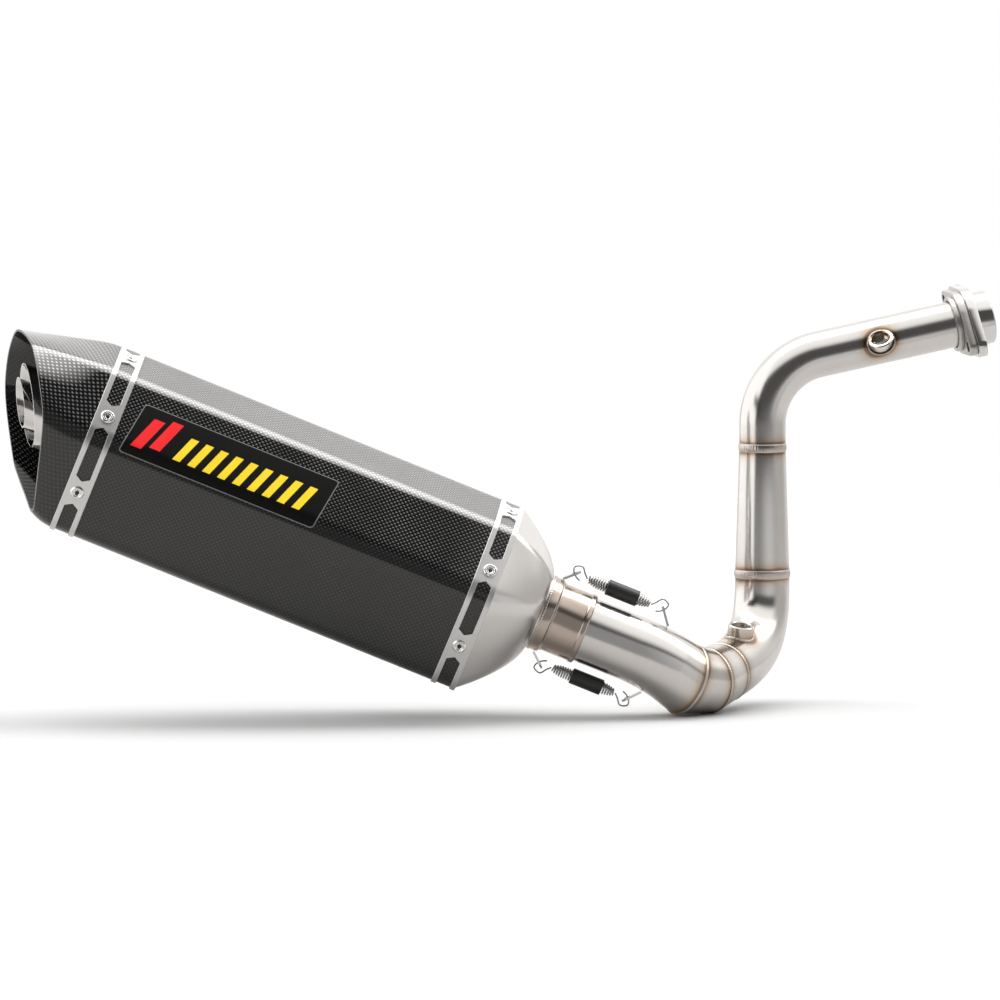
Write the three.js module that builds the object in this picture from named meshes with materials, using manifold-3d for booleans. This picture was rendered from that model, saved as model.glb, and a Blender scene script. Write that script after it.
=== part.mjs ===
// Full exhaust system for a single-cylinder racing motorcycle, in millimetres with +Z up.
// The vehicle's front is +X and its right-hand side is -Y, so the silencer hangs on the -Y side.
// Gas enters at the head spigot, runs down the riser, round the segmented elbow, through the
// link pipe and out through the silencer, whose axis climbs towards the rear.
import * as THREE from "three";
import { mergeVertices } from "three/addons/utils/BufferGeometryUtils.js";
import Module from "manifold-3d";

const wasm = await Module();
wasm.setup();

const DEGREES = Math.PI / 180;
const FULL_TURN = 2 * Math.PI;

// ---------------------------------------------------------------- driving dimensions
const GAP = 0.3; // free space left between neighbouring pieces
const PIPE_WALL = 1.2;
const ROUND_SIDES = 24; // sides of every large round piece
const SMALL_SIDES = 12;

const SILENCER_TILT = 22 * DEGREES; // how far the silencer's axis falls towards the front
const SILENCER_ORIGIN = new THREE.Vector3(-320, 0, 47.6); // middle of the body at its rear end
const BORE_HEIGHT = 5.6; // inlet and outlet sit this far above the middle of the body

// The body is a six-sided tube. Its corners, as [inward, up], are the same after a half turn.
const BODY_CORNERS = [
  [36.5, 77.5],
  [-29, 60],
  [-68, 6],
  [-36.5, -77.5],
  [29, -60],
  [68, -6],
];
const CORNER_RADII = [16, 17, 24, 16, 17, 24];
const ARC_STEPS = 3;
const EDGE_STEPS = 3;
const RIVET_SHARES = [0.5, 0.64, 0.53, 0.5, 0.64, 0.53]; // place of each rivet along its facet
const CARBON_WALL = 1.8;

const STRAP_WIDTH = 20;
const STRAP_THICKNESS = 1;
const REAR_STRAP_X = 2.4;
const FRONT_STRAP_X = 326.3;
const STRAP_LAP = 1.4; // how far each strap reaches past the end of the carbon sleeve
const WINDOW_WIDTH = 11.4;
const WINDOW_POINT = 3.6;
const WINDOW_FROM_RIVET = 10.5;
const RIVET_HEAD_RADIUS = 5.6;
const RIVET_SHANK_RADIUS = 2;
const RIVET_HOLE_RADIUS = 2.3;
const RIVET_TAIL = 1.2; // beyond the inside of the carbon
const RIVET_HEAD_HEIGHT = 1.3;

const HANGER = {
  facet: 5,
  width: 26,
  thickness: 3,
  step: 3, // how much lower the bracket is where it reaches the lug
  lugY: 75,
  lugBottom: -16,
  boltZ: -2,
  boltRadius: 4.3,
};

// Blank badge plate: its ends lean by the slant, its upper edge lies at a share of the facet.
const BADGE = { facet: 1, rear: 19.5, front: 191, slant: 7, top: 0.27, drop: 48, thickness: 0.6 };

const BAFFLE_THICKNESS = 1.5;
const BAFFLE_INSET = 1; // each baffle sits this far inside the end of the carbon sleeve
const CORE_RADIUS = 26.4;
const CORE_HOLE_RADIUS = 3;
const CORE_HOLE_ROWS = 5;
const CORE_CLEARANCE = 0.6; // between the core and the hole of a baffle
const PACKING_CLEARANCE = 1.8; // the packing stays clear of the rivets' tails

const CAP_LENGTH = 100; // before the slash cut
const CAP_TIP = { halfWidth: 53, halfHeight: 40, height: 15 };
const OUTLET_RADIUS = 30;
const OUTLET_INNER_RADIUS = 18;
const OUTLET_REAR_X = -130; // before the slash cut

// Slash cuts: where the cut crosses the bore or body axis, how much further back it reaches for
// each millimetre up, and for each millimetre inward.
const CAP_SLASH = { x: -61.1, rise: 0.385, inward: 0.316, height: 0 };
const OUTLET_SLASH = { x: -59.5, rise: 0.48, inward: 0.23, height: BORE_HEIGHT };
const INNER_SLASH = { x: -65.5, rise: 0.48, inward: 0.23, height: BORE_HEIGHT };

const NECK_RADIUS = 30.4;
const INLET_CAP_LENGTH = 41.5;
const INLET_CAP_WALL = 1.6;
const COLLAR_LENGTH = 11;
const BEAD_HEIGHT = 0.8;

const LINK_RADIUS = 26.5;
const SLEEVE_CLEARANCE = 0.4;
const SLEEVE_END_X = 415.5;
const LINK_START_X = 386;
const LINK_BEND_X = 456.7;
const LINK_BEND_RADIUS = 120;
const LINK_BEND_ANGLE = 23.5 * DEGREES;
const LINK_BEND_DROP = 50 * DEGREES; // the bend turns inward and this far downward
const LINK_END_RADIUS = 27.8; // the link pipe swells a little into the elbow
const ELBOW_HEADINGS = [
  [42, -6],
  [59.5, 9],
]; // degrees inward and degrees up of the two elbow segments
const ELBOW_LENGTHS = [23.3, 25.5];
const ELBOW_RADII = [25.6, 23.8]; // after the first and the second elbow segment
const LOWER_BEND_PULL = [48, 45]; // how strongly the swept bend keeps each end's direction
const RISER_RADIUS = 21.8;
const HEADER_RADIUS = 18.5;

const RISER_X = 209.7;
const RISER_Y = 116.3;
const RISER_BOTTOM = -76.5;
const LOWER_WELD = -69.8;
const UPPER_WELD = 31.4;
const HEADER_BEND_RADIUS = 56;
const HEADER_BEND_START = 49.8;
const HEADER_YAW = 12.3 * DEGREES; // the header turns inward from the riser to the head
const HEADER_RISE = 11.3 * DEGREES; // slope of the straight header towards the head
const HEADER_STRAIGHT = 130.5;
const SPIGOT_LENGTH = 13.5;
const SPIGOT_RADIUS = 21.5;

// Flange, from the head backwards: each layer's thickness, middle radius and ear radius.
const FLANGE_PLATE = { thickness: 7.4, radius: 27, ear: 10 };
const FLANGE_BODY = { thickness: 6.5, radius: 25, ear: 7.5 };
const FLANGE_HUB = { thickness: 4, radius: 22.2 };
const FLANGE_SETBACK = 0.2; // the flange rests this far behind the spigot's shoulder
const FLANGE_BORE = 19.2;
const STUD_OFFSET = 31;
const STUD_HOLE_RADIUS = 4.3;
const FLANGE_ROLL = -56 * DEGREES;

const SPRING_HEIGHT = 38; // spring axes stand this far from the slip joint's axis
const SILENCER_EYE_X = 391.5;
const LINK_EYE_X = 467;
const SPRING_COIL_LENGTH = 53;
const SPRING_COIL_RADIUS = 5.1;
const SPRING_WIRE_RADIUS = 0.8;
const RUBBER_LENGTH = 26;
const RUBBER_RADIUS = 6.4;
const RUBBER_X = 434;
const TAB_THICKNESS = 1.8;
const TAB_HALF_WIDTH = 5;
const TAB_HOLE_RADIUS = 2.8;
const SILENCER_TAB_FOOT = { x: 384, radius: 31.3, drop: 0 };
const LINK_TAB_FOOT = { x: 475, radius: 28.3, drop: 0.9 }; // the pipe has sunk a little by here

const BOSS_RADIUS = 10.4;
const BOSS_BORE = 7.4;
const REAR_BOSS = {
  mouth: new THREE.Vector3(192, 60, -105.4),
  axis: new THREE.Vector3(0.12, -0.2, 1).normalize(),
  length: 16,
  drilling: 26,
};
// The front boss is given in the header's own frame: x along the pipe, y inward, z away from it.
const FRONT_BOSS = {
  base: new THREE.Vector3(48.7, -12, 0.5),
  bendY: -17, // it leaves the pipe square to it as far as here, then turns up to its mouth
  mouth: new THREE.Vector3(47.6, -24.2, 5.2),
  axis: new THREE.Vector3(-0.18, -0.53, 0.83).normalize(),
  reachX: 10.6,
  reachZ: 8.8,
  mouthDepth: 4.5,
  drillFrom: new THREE.Vector3(48.2, -21.5, 1),
  drillRadius: 6.4,
};

// ---------------------------------------------------------------- geometry helpers

// A closed body from a chain of loops that comes back to its first loop, like a tyre.
function ringSolid(loops) {
  const sides = loops[0].length;
  const positions = loops.flat().flatMap((point) => [point.x, point.y, point.z]);
  const index = [];
  for (let row = 0; row < loops.length; row++) {
    const next = (row + 1) % loops.length;
    for (let side = 0; side < sides; side++) {
      const other = (side + 1) % sides;
      const a = row * sides + side;
      const b = row * sides + other;
      const c = next * sides + other;
      const d = next * sides + side;
      index.push(a, b, c, a, c, d);
    }
  }
  return facingOut(positions, index);
}

// A closed body from a chain of loops whose first and last loops are capped.
function cappedSolid(loops) {
  const sides = loops[0].length;
  const positions = loops.flat().flatMap((point) => [point.x, point.y, point.z]);
  const index = [];
  for (let row = 0; row + 1 < loops.length; row++) {
    for (let side = 0; side < sides; side++) {
      const other = (side + 1) % sides;
      const a = row * sides + side;
      const b = row * sides + other;
      index.push(a, b, b + sides, a, b + sides, a + sides);
    }
  }
  const last = (loops.length - 1) * sides;
  for (let side = 1; side + 1 < sides; side++) {
    index.push(0, side + 1, side);
    index.push(last, last + side, last + side + 1);
  }
  return facingOut(positions, index);
}

// Turns every face round when the enclosed volume comes out negative.
function facingOut(positions, index) {
  let volume = 0;
  const corner = (number) => new THREE.Vector3().fromArray(positions, 3 * number);
  for (let i = 0; i < index.length; i += 3) {
    const a = corner(index[i]);
    volume += a.dot(corner(index[i + 1]).cross(corner(index[i + 2])));
  }
  const turned = volume < 0 ? [...index].reverse() : index;
  const geometry = new THREE.BufferGeometry();
  geometry.setAttribute("position", new THREE.Float32BufferAttribute(positions, 3));
  geometry.setIndex(turned);
  return geometry;
}

function toSolid(geometry) {
  const bare = geometry.clone();
  bare.deleteAttribute("normal");
  bare.deleteAttribute("uv");
  const merged = mergeVertices(bare, 1e-4);
  const mesh = new wasm.Mesh({
    numProp: 3,
    vertProperties: new Float32Array(merged.attributes.position.array),
    triVerts: new Uint32Array(merged.index.array),
  });
  return new wasm.Manifold(mesh);
}

function toGeometry(solid) {
  const mesh = solid.getMesh();
  const geometry = new THREE.BufferGeometry();
  const positions = new THREE.Float32BufferAttribute(mesh.vertProperties, 3);
  geometry.setAttribute("position", positions);
  geometry.setIndex(new THREE.Uint32BufferAttribute(mesh.triVerts, 1));
  return geometry;
}

function cut(geometry, ...cutters) {
  const body = cutters.reduce((rest, cutter) => rest.subtract(toSolid(cutter)), toSolid(geometry));
  return toGeometry(body);
}

function join(...geometries) {
  const [first, ...others] = geometries.map(toSolid);
  return toGeometry(others.reduce((whole, piece) => whole.add(piece), first));
}

// A round piece about the X axis from a closed profile of [x, radius] points.
function turned(profile, sides = ROUND_SIDES) {
  const points = profile.map(([x, radius]) => new THREE.Vector2(radius, x));
  points.push(points[0].clone());
  const geometry = new THREE.LatheGeometry(points, sides);
  geometry.rotateZ(-Math.PI / 2);
  geometry.scale(1, -1, 1);
  const merged = mergeVertices(stripped(geometry), 1e-4);
  return facingOut([...merged.attributes.position.array], withoutSlivers(merged));
}

function stripped(geometry) {
  const bare = geometry.clone();
  bare.deleteAttribute("normal");
  bare.deleteAttribute("uv");
  return bare;
}

function withoutSlivers(geometry) {
  const kept = [];
  const index = geometry.index.array;
  for (let i = 0; i < index.length; i += 3) {
    const [a, b, c] = [index[i], index[i + 1], index[i + 2]];
    if (a !== b && b !== c && c !== a) {
      kept.push(a, b, c);
    }
  }
  return kept;
}

// A rod between two points, used for shanks and as a drill.
function rod(from, to, radius, sides = SMALL_SIDES) {
  const along = to.clone().sub(from);
  const geometry = new THREE.CylinderGeometry(radius, radius, along.length(), sides);
  const turn = new THREE.Quaternion();
  turn.setFromUnitVectors(new THREE.Vector3(0, 1, 0), along.clone().normalize());
  geometry.applyQuaternion(turn);
  const middle = from.clone().add(to).multiplyScalar(0.5);
  geometry.translate(middle.x, middle.y, middle.z);
  return geometry;
}

// A flat plate: a shape in its own plane, thickened along the plane's normal.
function plate(shape, thickness) {
  const options = { depth: thickness, bevelEnabled: false, curveSegments: 5 };
  return new THREE.ExtrudeGeometry(shape, options);
}

// Turns a plate drawn in its own x and y into one whose outline lies across the X axis, with x
// as Y and y as Z, and whose thickness runs along X.
const ACROSS_TO_ALONG = new THREE.Matrix4().set(0, 0, 1, 0, 1, 0, 0, 0, 0, 1, 0, 0, 0, 0, 0, 1);

function circlePath(x, y, radius) {
  const path = new THREE.Path();
  path.absarc(x, y, radius, 0, FULL_TURN, false);
  return path;
}

const group = new THREE.Group();

function add(parent, name, geometry, colour, roughness, metalness) {
  const material = new THREE.MeshStandardMaterial({ color: colour, roughness, metalness });
  const mesh = new THREE.Mesh(geometry, material);
  mesh.name = name;
  parent.add(mesh);
  return mesh;
}

const steel = (parent, name, geometry) => add(parent, name, geometry, 0xb9b5b0, 0.32, 1);
const polished = (parent, name, geometry) => add(parent, name, geometry, 0xcfcdc9, 0.15, 1);
const carbon = (parent, name, geometry) => add(parent, name, geometry, 0x1c1c1e, 0.3, 0.1);

// ---------------------------------------------------------------- silencer body outline

// Points of the rounded six-sided outline, each with its outward normal and its distance
// along the outline from the start.
function bodyOutline() {
  const corners = BODY_CORNERS.map(([y, z]) => new THREE.Vector2(y, z));
  const count = corners.length;
  const arcs = corners.map((corner, i) => {
    const before = corners[(i + count - 1) % count].clone().sub(corner).normalize();
    const after = corners[(i + 1) % count].clone().sub(corner).normalize();
    const half = Math.acos(before.dot(after)) / 2;
    const inward = before.clone().add(after).normalize();
    const centre = corner.clone().addScaledVector(inward, CORNER_RADII[i] / Math.sin(half));
    const leave = corner.clone().addScaledVector(before, CORNER_RADII[i] / Math.tan(half));
    const start = leave.sub(centre).angle();
    return { centre, radius: CORNER_RADII[i], start, sweep: Math.PI - 2 * half };
  });
  const points = [];
  arcs.forEach((arc, i) => {
    for (let step = 0; step <= ARC_STEPS; step++) {
      const angle = arc.start + (arc.sweep * step) / ARC_STEPS;
      const normal = new THREE.Vector2(Math.cos(angle), Math.sin(angle));
      points.push({ at: arc.centre.clone().addScaledVector(normal, arc.radius), normal, facet: i });
    }
    const from = points[points.length - 1];
    const next = arcs[(i + 1) % count];
    const nextNormal = new THREE.Vector2(Math.cos(next.start), Math.sin(next.start));
    const to = next.centre.clone().addScaledVector(nextNormal, next.radius);
    for (let step = 1; step < EDGE_STEPS; step++) {
      const at = from.at.clone().lerp(to, step / EDGE_STEPS);
      points.push({ at, normal: from.normal.clone(), facet: i });
    }
  });
  let distance = 0;
  points.forEach((point, i) => {
    distance += i ? point.at.distanceTo(points[i - 1].at) : 0;
    point.distance = distance;
  });
  points.perimeter = distance + points[0].at.distanceTo(points[points.length - 1].at);
  return points;
}

const outline = bodyOutline();

// The outline grown by an offset, as a loop at one place along the silencer.
function bodyLoop(x, offset = 0) {
  return outline.map(({ at, normal }) => {
    return new THREE.Vector3(x, at.x + normal.x * offset, at.y + normal.y * offset);
  });
}

// A round loop with one point for each point of the outline.
function roundLoop(x, radiusY, radiusZ, height, inset = 0) {
  return outline.map(({ at }) => {
    const angle = Math.atan2(at.y, at.x);
    const y = Math.cos(angle) * (radiusY - inset);
    const z = Math.sin(angle) * (radiusZ - inset);
    return new THREE.Vector3(x, y, height + z);
  });
}

function mixLoops(first, second, share) {
  return first.map((point, i) => point.clone().lerp(second[i], share));
}

// Place and normal on the outline at a distance along it.
function outlineAt(distance) {
  const wanted = THREE.MathUtils.euclideanModulo(distance, outline.perimeter);
  let i = outline.findIndex((point) => point.distance > wanted) - 1;
  i = i < -1 || i === -1 ? outline.length - 1 : i;
  const from = outline[i];
  const to = outline[(i + 1) % outline.length];
  const span = from.at.distanceTo(to.at);
  const share = (wanted - from.distance) / span;
  const at = from.at.clone().lerp(to.at, share);
  const normal = from.normal.clone().lerp(to.normal, share).normalize();
  return { at, normal };
}

// Distance along the outline of a share of the way between two neighbouring sharp corners.
function facetDistance(facet, share) {
  const [y0, z0] = BODY_CORNERS[facet];
  const [y1, z1] = BODY_CORNERS[(facet + 1) % BODY_CORNERS.length];
  const target = new THREE.Vector2(y0, z0).lerp(new THREE.Vector2(y1, z1), share);
  let best = 0;
  let nearest = Infinity;
  for (let distance = 0; distance < outline.perimeter; distance += 0.5) {
    const reach = outlineAt(distance).at.distanceTo(target);
    if (reach < nearest) {
      nearest = reach;
      best = distance;
    }
  }
  return best;
}

const rivetDistances = RIVET_SHARES.map((share, facet) => facetDistance(facet, share));

// A rod that crosses the body's wall square to it at a distance along the outline.
function wallRod(x, distance, radius, from, to, sides = SMALL_SIDES) {
  const { at, normal } = outlineAt(distance);
  const ends = [from, to].map((offset) => {
    const place = at.clone().addScaledVector(normal, offset);
    return new THREE.Vector3(x, place.x, place.y);
  });
  return rod(ends[0], ends[1], radius, sides);
}

// ---------------------------------------------------------------- silencer

const silencer = new THREE.Group();
silencer.position.copy(SILENCER_ORIGIN);
silencer.rotation.y = SILENCER_TILT;
group.add(silencer);

const sleeveRear = REAR_STRAP_X - STRAP_WIDTH / 2 + STRAP_LAP;
const sleeveFront = FRONT_STRAP_X + STRAP_WIDTH / 2 - STRAP_LAP;
const strapInside = GAP;
const strapOutside = GAP + STRAP_THICKNESS;
const strapPlaces = { rear: REAR_STRAP_X, front: FRONT_STRAP_X };

// Carbon sleeve, drilled for the rivets.
const sleeveBlank = ringSolid([
  bodyLoop(sleeveRear),
  bodyLoop(sleeveFront),
  bodyLoop(sleeveFront, -CARBON_WALL),
  bodyLoop(sleeveRear, -CARBON_WALL),
]);
const sleeveDrills = Object.values(strapPlaces).flatMap((x) =>
  rivetDistances.map((distance) => wallRod(x, distance, RIVET_HOLE_RADIUS, -6, 4, 10)),
);
carbon(silencer, "carbon_sleeve", cut(sleeveBlank, ...sleeveDrills));

// The window between two rivets of a strap, as a cutter that follows the outline round a corner.
function windowCutter(x, from, to) {
  const steps = 6;
  const half = WINDOW_WIDTH / 2;
  const stations = [
    [from, 0.05],
    [from + WINDOW_POINT, half],
  ];
  for (let step = 1; step < steps; step++) {
    const share = step / steps;
    stations.push([from + WINDOW_POINT + (to - from - 2 * WINDOW_POINT) * share, half]);
  }
  stations.push([to - WINDOW_POINT, half], [to, 0.05]);
  const loops = stations.map(([distance, width]) => {
    const { at, normal } = outlineAt(distance);
    const low = at.clone().addScaledVector(normal, -1);
    const high = at.clone().addScaledVector(normal, 3);
    return [
      new THREE.Vector3(x - width, low.x, low.y),
      new THREE.Vector3(x + width, low.x, low.y),
      new THREE.Vector3(x + width, high.x, high.y),
      new THREE.Vector3(x - width, high.x, high.y),
    ];
  });
  return cappedSolid(loops);
}

function strap(x) {
  const rear = x - STRAP_WIDTH / 2;
  const front = x + STRAP_WIDTH / 2;
  const blank = ringSolid([
    bodyLoop(rear, strapOutside),
    bodyLoop(front, strapOutside),
    bodyLoop(front, strapInside),
    bodyLoop(rear, strapInside),
  ]);
  const windows = rivetDistances.map((distance, i) => {
    const next = rivetDistances[(i + 1) % rivetDistances.length];
    const end = next > distance ? next : next + outline.perimeter;
    return windowCutter(x, distance + WINDOW_FROM_RIVET, end - WINDOW_FROM_RIVET);
  });
  const drills = rivetDistances.map((distance) => wallRod(x, distance, RIVET_HOLE_RADIUS, -2, 4, 10));
  return cut(blank, ...windows, ...drills);
}

// A blind rivet: a dished head on the strap and a shank through the strap and the carbon. What
// is packed between the strap and the head lengthens it.
function rivet(x, distance, packed = 0) {
  const seat = strapOutside + GAP / 3 + packed;
  const { at, normal } = outlineAt(distance);
  const profile = [
    [-CARBON_WALL - RIVET_TAIL, 0],
    [-CARBON_WALL - RIVET_TAIL, RIVET_SHANK_RADIUS],
    [seat, RIVET_SHANK_RADIUS],
    [seat, RIVET_HEAD_RADIUS],
    [seat + RIVET_HEAD_HEIGHT / 2, RIVET_HEAD_RADIUS],
    [seat + RIVET_HEAD_HEIGHT, RIVET_HEAD_RADIUS - 1.6],
    [seat + RIVET_HEAD_HEIGHT / 2, RIVET_SHANK_RADIUS],
    [seat + RIVET_HEAD_HEIGHT / 2, 0],
  ];
  const geometry = new THREE.LatheGeometry(
    profile.map(([height, radius]) => new THREE.Vector2(radius, height)),
    SMALL_SIDES,
  );
  const merged = mergeVertices(stripped(geometry), 1e-4);
  const solid = facingOut([...merged.attributes.position.array], withoutSlivers(merged));
  const outward = new THREE.Vector3(0, normal.x, normal.y);
  solid.applyQuaternion(new THREE.Quaternion().setFromUnitVectors(new THREE.Vector3(0, 1, 0), outward));
  solid.translate(x, at.x, at.y);
  return solid;
}

for (const [place, x] of Object.entries(strapPlaces)) {
  steel(silencer, `${place}_strap`, strap(x));
  rivetDistances.forEach((distance, i) => {
    const hangerThere = place === "front" && i === HANGER.facet;
    const packed = hangerThere ? HANGER.thickness + GAP / 3 : 0;
    polished(silencer, `${place}_rivet_${i + 1}`, rivet(x, distance, packed));
  });
}

// Plates that close the packed chamber at each end of the carbon sleeve.
function baffle(x) {
  const inside = -CARBON_WALL - GAP;
  const hole = CORE_RADIUS + CORE_CLEARANCE;
  return ringSolid([
    bodyLoop(x, inside),
    bodyLoop(x + BAFFLE_THICKNESS, inside),
    roundLoop(x + BAFFLE_THICKNESS, hole, hole, BORE_HEIGHT),
    roundLoop(x, hole, hole, BORE_HEIGHT),
  ]);
}

const rearBaffleX = sleeveRear + BAFFLE_INSET;
const frontBaffleX = sleeveFront - BAFFLE_INSET - BAFFLE_THICKNESS;
steel(silencer, "rear_baffle", baffle(rearBaffleX));
steel(silencer, "front_baffle", baffle(frontBaffleX));

// Perforated core: the straight gas path through the packing.
const coreRear = rearBaffleX - 4;
const coreFront = frontBaffleX + 8;
const coreBlank = turned([
  [coreRear, CORE_RADIUS - PIPE_WALL],
  [coreRear, CORE_RADIUS],
  [coreFront, CORE_RADIUS],
  [coreFront, CORE_RADIUS - PIPE_WALL],
]);
coreBlank.translate(0, 0, BORE_HEIGHT);
const coreDrills = [];
for (let row = 0; row < CORE_HOLE_ROWS; row++) {
  const x = THREE.MathUtils.lerp(rearBaffleX, frontBaffleX, (row + 0.5) / CORE_HOLE_ROWS);
  for (let angle = row % 2 ? 45 : 0; angle < 180; angle += 90) {
    const outward = new THREE.Vector3(0, Math.cos(angle * DEGREES), Math.sin(angle * DEGREES));
    const middle = new THREE.Vector3(x, 0, BORE_HEIGHT);
    const reach = outward.multiplyScalar(CORE_RADIUS + 3);
    coreDrills.push(rod(middle.clone().sub(reach), middle.clone().add(reach), CORE_HOLE_RADIUS, 6));
  }
}
steel(silencer, "perforated_core", cut(coreBlank, ...coreDrills));

// Sound-absorbing fibre packed between the core and the sleeve.
const packingRear = rearBaffleX + BAFFLE_THICKNESS + 1;
const packingFront = frontBaffleX - 1;
const packingOffset = -CARBON_WALL - PACKING_CLEARANCE;
const packingBore = CORE_RADIUS + 0.8;
const packing = ringSolid([
  bodyLoop(packingRear, packingOffset),
  bodyLoop(packingFront, packingOffset),
  roundLoop(packingFront, packingBore, packingBore, BORE_HEIGHT),
  roundLoop(packingRear, packingBore, packingBore, BORE_HEIGHT),
]);
add(silencer, "packing", packing, 0xcdbf8a, 1, 0);

// Everything behind a slanted plane, as a cutter: the slash cut faces the rear, and leans so
// that the top and the inner side reach further back.
function slashCutter(slash) {
  const reach = 160;
  const corner = (y, z, back) => {
    const x = slash.x - slash.rise * (z - slash.height) - slash.inward * y;
    return new THREE.Vector3(back ? -3 * reach : x, y, z);
  };
  const loop = (back) => [
    corner(-reach, -reach, back),
    corner(reach, -reach, back),
    corner(reach, reach, back),
    corner(-reach, reach, back),
  ];
  return cappedSolid([loop(false), loop(true)]);
}

// Carbon end cap: it tapers from the body's outline to a smaller oval and is then slash cut.
const capStart = sleeveRear - GAP;
const CAP_SHARES = [0, 0.06, 0.12, 0.2, 0.4, 0.7, 1];
const CAP_EASE = 0.2; // over this share of its length the cap curves in from the body's outline
function endCapLoops(inset) {
  const { halfWidth, halfHeight, height } = CAP_TIP;
  const tip = roundLoop(capStart - CAP_LENGTH, halfWidth, halfHeight, height, inset);
  const base = bodyLoop(capStart, -inset);
  return CAP_SHARES.map((share) => {
    const eased = share < CAP_EASE ? share ** 2 / (2 * CAP_EASE) : share - CAP_EASE / 2;
    const loop = mixLoops(base, tip, eased / (1 - CAP_EASE / 2));
    return loop.map((point) => point.setX(capStart - CAP_LENGTH * share));
  });
}
const endCapBlank = ringSolid([...endCapLoops(0), ...endCapLoops(CARBON_WALL).reverse()]);
carbon(silencer, "end_cap", cut(endCapBlank, slashCutter(CAP_SLASH)));

// Outlet: a slash-cut outer tube and a narrower tube inside it that flares to meet it.
const outletStart = rearBaffleX - 1;
const outletBlank = turned([
  [OUTLET_REAR_X, OUTLET_RADIUS - PIPE_WALL],
  [OUTLET_REAR_X, OUTLET_RADIUS],
  [outletStart, OUTLET_RADIUS],
  [outletStart, OUTLET_RADIUS - PIPE_WALL],
]);
outletBlank.translate(0, 0, BORE_HEIGHT);
polished(silencer, "outlet_tube", cut(outletBlank, slashCutter(OUTLET_SLASH)));

const flareRadius = OUTLET_RADIUS - PIPE_WALL - 0.5;
const flareStart = outletStart - 6;
const flareEnd = flareStart - 16;
const innerBlank = turned([
  [OUTLET_REAR_X, OUTLET_INNER_RADIUS - PIPE_WALL],
  [OUTLET_REAR_X, OUTLET_INNER_RADIUS],
  [flareEnd, OUTLET_INNER_RADIUS],
  [flareStart, flareRadius],
  [flareStart + 4, flareRadius],
  [flareStart + 4, flareRadius - PIPE_WALL],
  [flareStart + 0.8, flareRadius - PIPE_WALL],
  [flareEnd + 0.8, OUTLET_INNER_RADIUS - PIPE_WALL],
]);
innerBlank.translate(0, 0, BORE_HEIGHT);
polished(silencer, "outlet_inner_tube", cut(innerBlank, slashCutter(INNER_SLASH)));

// Spun steel inlet cap: a rounded cone from the body's outline down to a round neck.
const inletCapStart = sleeveFront + GAP;
const neckStart = inletCapStart + INLET_CAP_LENGTH;
function inletCapLoops(inset) {
  const base = bodyLoop(inletCapStart, -inset);
  const neck = roundLoop(neckStart, NECK_RADIUS, NECK_RADIUS, BORE_HEIGHT, inset);
  const shares = [0, 0.18, 0.4, 0.6, 0.78, 0.92, 1];
  const loops = shares.map((share) => {
    const loop = mixLoops(neck, base, Math.pow(1 - share, 0.63));
    return loop.map((point) => point.setX(inletCapStart + INLET_CAP_LENGTH * share));
  });
  const lip = neck.map((point) => point.clone().setX(neckStart + 2));
  return [...loops, lip];
}
const inletCap = ringSolid([...inletCapLoops(0), ...inletCapLoops(INLET_CAP_WALL).reverse()]);
steel(silencer, "inlet_cap", inletCap);

// Inlet sleeve: slips over the link pipe. A ring fills the neck and a bead stiffens the mouth.
const sleeveBore = LINK_RADIUS + SLEEVE_CLEARANCE;
const sleeveOutside = sleeveBore + PIPE_WALL;
const inletSleeve = turned([
  [frontBaffleX + 14, sleeveBore],
  [frontBaffleX + 14, sleeveOutside - 0.4],
  [neckStart - 6, sleeveOutside - 0.4],
  [neckStart - 6, sleeveOutside],
  [neckStart + 2 + GAP, sleeveOutside],
  [neckStart + 2 + GAP, NECK_RADIUS],
  [neckStart + COLLAR_LENGTH - 2, NECK_RADIUS - 0.6],
  [neckStart + COLLAR_LENGTH, sleeveOutside],
  [SLEEVE_END_X - 5, sleeveOutside],
  [SLEEVE_END_X - 4, sleeveOutside + BEAD_HEIGHT],
  [SLEEVE_END_X - 1, sleeveOutside + BEAD_HEIGHT],
  [SLEEVE_END_X, sleeveOutside],
  [SLEEVE_END_X, sleeveBore],
]);
inletSleeve.translate(0, 0, BORE_HEIGHT);
steel(silencer, "inlet_sleeve", inletSleeve);

// Badge plate on the upper outer facet, with no mark on it. It follows the body's outline.
function badgeGeometry() {
  const top = facetDistance(BADGE.facet, BADGE.top);
  const bottom = top + BADGE.drop;
  const between = outline.map((point) => point.distance).filter((place) => place > top && place < bottom);
  const loops = [top, ...between, bottom].map((distance) => {
    const { at, normal } = outlineAt(distance);
    const low = at.clone().addScaledVector(normal, GAP);
    const high = at.clone().addScaledVector(normal, GAP + BADGE.thickness);
    const share = (distance - top) / BADGE.drop;
    const rear = BADGE.rear + BADGE.slant * (1 - share);
    const front = BADGE.front - BADGE.slant * share;
    return [
      new THREE.Vector3(rear, low.x, low.y),
      new THREE.Vector3(front, low.x, low.y),
      new THREE.Vector3(front, high.x, high.y),
      new THREE.Vector3(rear, high.x, high.y),
    ];
  });
  return cappedSolid(loops);
}
add(silencer, "badge_plate", badgeGeometry(), 0x111111, 0.35, 0);

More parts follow.
